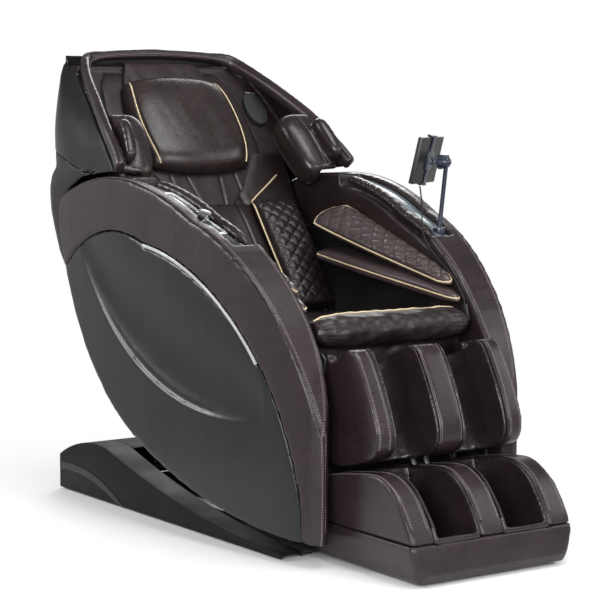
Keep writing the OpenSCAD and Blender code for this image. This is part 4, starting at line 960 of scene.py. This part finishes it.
head_panel = lofted("back_head_panel", panel_leather, "back", (), (150, 130), head_spot)
for side, s in (("left", 1), ("right", -1)):
    lumbar = back_place(s * 0.1685, 0.045, 0.185)
    cushion("lumbar_pad_" + side, 0.145, 0.366, 0.026, 0.041, lumbar, espresso, "back",
            ["lumbar_pads"] if s > 0 else (), cells=(70, 150), rounding=0.1, rule=lumbar_sewing)
    edge = [Vector((s * x, board_face - 0.003, z)) * 1000 for z, x in head_outline]
    tube("head_panel_piping_" + side, [on_back @ (p / 1000) for p in through(edge, 6)], 0.0028,
         black_cord, "back")


def wing_spot(u, v):
    """A soft strip beside the pads, from its inner to its outer edge and from the seat up."""
    z = -0.005 + 0.575 * (v + 1) / 2
    inner = outline_at(z, [(0, 0.215), (0.37, 0.1), (0.43, 0.1), (0.58, 0.2)])
    outer = outline_at(z, [(0, 0.262), (0.37, 0.288), (0.46, 0.298), (0.58, 0.318)])
    fold = noise.noise(Vector((u * 2.2, z * 26, 6.2)))
    swell = math.sqrt(max(0, 1 - abs(u) ** 4))
    return on_back @ Vector((inner + (outer - inner) * (u + 1) / 2,
                             0.056 - swell * (0.02 + 0.0025 * fold) * (1 - 0.6 * step((z - 0.3) / 0.12)), z))


cream_line = [(100, 2, 6), (95.5, 1, 50), (93.5, 0, 120), (93, 0, 190), (93.5, 0, 270), (96, 2, 340),
              (102, 14, 368), (116, 34, 384), (150, 42, 412), (205, 43, 452), (250, 43, 486)]
for side, s in (("left", 1), ("right", -1)):
    mirror = Matrix.Diagonal((s, 1, 1, 1))
    strip = lofted("back_side_strip_" + side, panel_leather, "back", (), (40, 150),
                   lambda u, v: mirror @ wing_spot(u, v))
    tube("lumbar_piping_" + side, [on_back @ Vector((s * p.x / 1000, p.y / 1000, p.z / 1000))
                                   for p in through(cream_line, 6)], 0.0027, cream_cord, "back")


# ---- Pillow ----
# A soft head pillow filled with fibre, its leather smooth with a few slack folds, hung from a leather
# flap over the head of the pad, with cream piping before each end cap.
pillow_leather = pu_leather("pillow_pu_leather", "#1f1717", "#2c2323", 0.28, 1.6, 0.15)
pillow_place = back_place(0, 0.0492, 0.6695)


def slackened(x, y, u, v):
    fold = noise.noise(Vector((x * 24 + y * 6, y * 5, 2)))
    broad = noise.noise(Vector((x * 9, y * 7, 7)))
    cap = math.exp(-((abs(u) - 0.89) / 0.02) ** 2)
    # The second value is painted shade in the fold troughs and at the seams before the end caps.
    return 0.0012 * fold * (1 - abs(v)) + 0.003 * broad - 0.004 * cap, 0.1 * max(0, -fold) + 0.4 * cap


pillow = cushion("pillow_leather", 0.372, 0.345, 0.047, 0.012, pillow_place, pillow_leather, "pillow",
                 ["pillow"], cells=(120, 90), rounding=0.5, rule=slackened, bulge=0.01)
pillow_tree = surface_of(pillow)
onto_pillow = pillow_place.to_3x3() @ Vector((0, 0, -1))
for side, s in (("left", 1), ("right", -1)):
    arch = [0.94 * math.sin(math.pi / 2 * (i / 20 - 1)) for i in range(41)]
    above = [pillow_place @ Vector((s * 0.1655 * math.sqrt(1 - 0.25 * v * v), 0.1725 * v * 0.9, 0.09))
             for v in arch]
    tube("pillow_piping_" + side, draped(pillow_tree, above, onto_pillow, 0.0008), 0.0024, cream_cord,
         "pillow")


def flap_spot(u, v):
    z = 0.79 + 0.125 * (v + 1) / 2
    x = (0.152 - 0.03 * step((v + 1) / 2) ** 2) * math.sin(math.pi / 2 * u)
    fold = noise.noise(Vector((x * 26, z * 10, 3.3)))
    full = math.sqrt(max(0, 1 - abs(u) ** 8)) * math.sqrt(max(0, 1 - max(0, v) ** 8))
    return on_back @ Vector((x, 0.0475 - full * (0.007 + 0.002 * fold), z))


flap = lofted("head_flap_leather", rim_leather, "back", ["head_flap"], (60, 30), flap_spot, thick=0.003)


# ---- Shoulder pads and speakers ----
# Air pads at the shoulders inside the wings, a large and a small one on each side, with a stitched
# seam, and oval speakers behind black cloth beside the head, each with a short bright line.
shoulder_leather = pu_leather("shoulder_pu_leather", "#1d1516", "#292020", 0.24, 1.6, 0.2)


def smooth_skin(co, normal):
    soft = noise.noise(co * 24)
    # The second value is painted shade in the troughs of the soft dents.
    return 0.0008 * soft, 0.1 * max(0, -soft)


for side, s in (("left", 1), ("right", -1)):
    pads = upholstered("shoulder_pads_" + side, ["shoulder_pad_" + side], shoulder_leather, "back",
                       voxel=0.004, passes=16, rule=smooth_skin)
    wing = Matrix.Diagonal((s, 1, 1, 1)) @ on_back @ Matrix.Translation((0.3505, -0.06, 0.512))
    pad_place = wing @ Matrix.Rotation(math.radians(-99), 4, "Y")
    stitched("shoulder_stitches_" + side, [seam_ring(0.205, 0.085, pad_place, 0.5, low=0.045)],
             surface_of(pads), "back", pitch=0.008, length=0.0055, width=0.0014)


def speaker_cloth(t):
    place = add(t, "TexCoord").outputs["Object"]
    cells = add(t, "TexVoronoi", {"Vector": place, "Scale": 420.0}).outputs["Distance"]
    colour = add(t, "Mix", {"Factor": cells, "A": linear("#08080a"), "B": linear("#26262a")},
                 data_type="RGBA").outputs["Result"]
    bump = add(t, "Bump", {"Height": cells, "Distance": 0.0008, "Strength": 0.8}).outputs["Normal"]
    add(t, "OutputMaterial", {"Surface": add(t, "BsdfPrincipled", {
        "Base Color": colour, "Roughness": 0.7, "Normal": bump}).outputs["BSDF"]})


finish_node("speakers", shade("speaker_mesh_cloth", speaker_cloth), 0.002)
for side, s in (("left", 1), ("right", -1)):
    glint = [on_back @ Vector((s * (0.262 + 0.034 * k / 6), 0.0425, 0.8 - 0.004 * k / 6)) for k in range(7)]
    tube("speaker_bright_line_" + side, glint, 0.0014, bright_strip, "back")


# ---- Massage unit ----
# Behind the pad: a steel back frame, two rails, a carriage on shoes, two kneading arms on a shaft
# and a pair of hard rollers on a cross shaft. Only seen from below or inside.
roller_pa = moulded("roller_glass_nylon", "#8d8375", "#a69b8c", 0.5, 1.4, 0.05)
finish_node("back_frame", frame_steel, 0.001)
finish_node("massage_rails", zinc_steel, 0.001)
finish_node("massage_carriage", frame_steel, 0.001)
finish_node("massage_arms", black_abs, 0.001)
finish_node("massage_rollers", roller_pa, 0.003)


# ---- Leg rest ----
# A foam body in leather with two channels for the calves, air bags lining them, and a foot rest
# below with two wells, its walls sewn in leather over a tray.
leg_leather = pu_leather("leg_pu_leather", "#1d1516", "#2a2021", 0.3, 1.6, 0.1)
leg_lining = pu_leather("leg_lining_leather", "#1b1415", "#281f20", 0.28, 1.6, 0.2)
foot_leather = pu_leather("foot_pu_leather", "#1f1718", "#2b2223", 0.32, 1.6, 0.08)
calf_body = upholstered("calf_body_leather", ["calf_shell"], leg_leather, "calf_rest", voxel=0.005,
                        passes=14)
on_leg = Matrix.Translation((0, -0.425, 0.5)) @ Matrix.Rotation(math.radians(-30), 4, "X")
calf_tree = surface_of(calf_body)


def down_the_calf(x):
    spots = [on_leg @ Vector((x, -0.3, -0.03 - 0.25 * i / 40)) for i in range(41)]
    return draped(calf_tree, spots, on_leg.to_3x3() @ Vector((0, 1, 0)), 0.0005)


calf_rows = (0.03, 0.0335, 0.189, 0.1925, 0.219, 0.2225)
stitched("calf_stitches", [down_the_calf(s * x) for s in (1, -1) for x in calf_rows], calf_tree,
         "calf_rest")
for number, x in enumerate((-0.1815, -0.0425, 0.0425, 0.1815)):
    tube("calf_piping_" + str(number), down_the_calf(x), 0.0026, black_cord, "calf_rest")


def puckered(co, normal):
    soft = noise.noise(Vector((co.x * 10, co.y * 10, co.z * 13)))
    fine = noise.noise(Vector((co.x * 40, co.y * 40, co.z * 90)))
    # The second value is painted shade in the troughs of the fine puckers.
    return 0.0035 * soft + 0.0006 * fine, 0.15 * max(0, -fine)


upholstered("calf_air_pads", ["calf_pads"], leg_lining, "calf_rest", voxel=0.0045, passes=8,
            rule=puckered)
upholstered("foot_tray_leather", ["foot_tray"], foot_leather, "foot_rest", voxel=0.005, passes=8)
foot_body = upholstered("foot_walls_leather", ["foot_walls"], foot_leather, "foot_rest", voxel=0.005,
                        passes=9)
foot_lining = upholstered("foot_well_linings", ["foot_linings"], leg_lining, "foot_rest", voxel=0.004,
                          passes=6, rule=puckered)
foot_tree, lining_tree = surface_of(foot_body), surface_of(foot_lining)


def over_the_foot(tree, x):
    return draped(tree, [(x, -0.41 - 0.385 * i / 60, 0.4) for i in range(61)], (0, 0, -1), 0.0005)


foot_rows = (0.024, 0.0275, 0.19, 0.1935, 0.234, 0.2375)
stitched("foot_stitches", [over_the_foot(foot_tree, s * x) for s in (1, -1) for x in foot_rows],
         foot_tree, "foot_rest")
for number, x in enumerate((-0.1755, -0.0385, 0.0385, 0.1755)):
    tube("foot_well_piping_" + str(number), over_the_foot(lining_tree, x), 0.003, black_cord, "foot_rest")
finish_node("foot_rods", zinc_steel, 0.0008)


# ---- Cover under the seat ----
# A black board with eased edges, fixed upright under the front of the seat, stands in for the shade there: it
# closes the space behind the leg rest and moves with the seat.
# Painted shade: a near-black board where there is only shade under the seat.
shade_board = moulded("black_board_for_shade", "#0b0b0c", "#161617", 0.8, 0.9, 0.12, shine=0.15)
cover_width, cover_thick, cover_height = 0.43, 0.003, 0.28
closing = bmesh.new()
bmesh.ops.create_cube(closing, size=1, matrix=Matrix.Translation((0, -0.37, 0.29))
                      @ Matrix.Diagonal((cover_width, cover_thick, cover_height, 1)))
bmesh.ops.bevel(closing, geom=closing.edges[:], offset=0.001, segments=2, profile=0.5, affect="EDGES",
                material=-1)
solid("under_seat_cover", closing, shade_board, "seat", smooth=False)
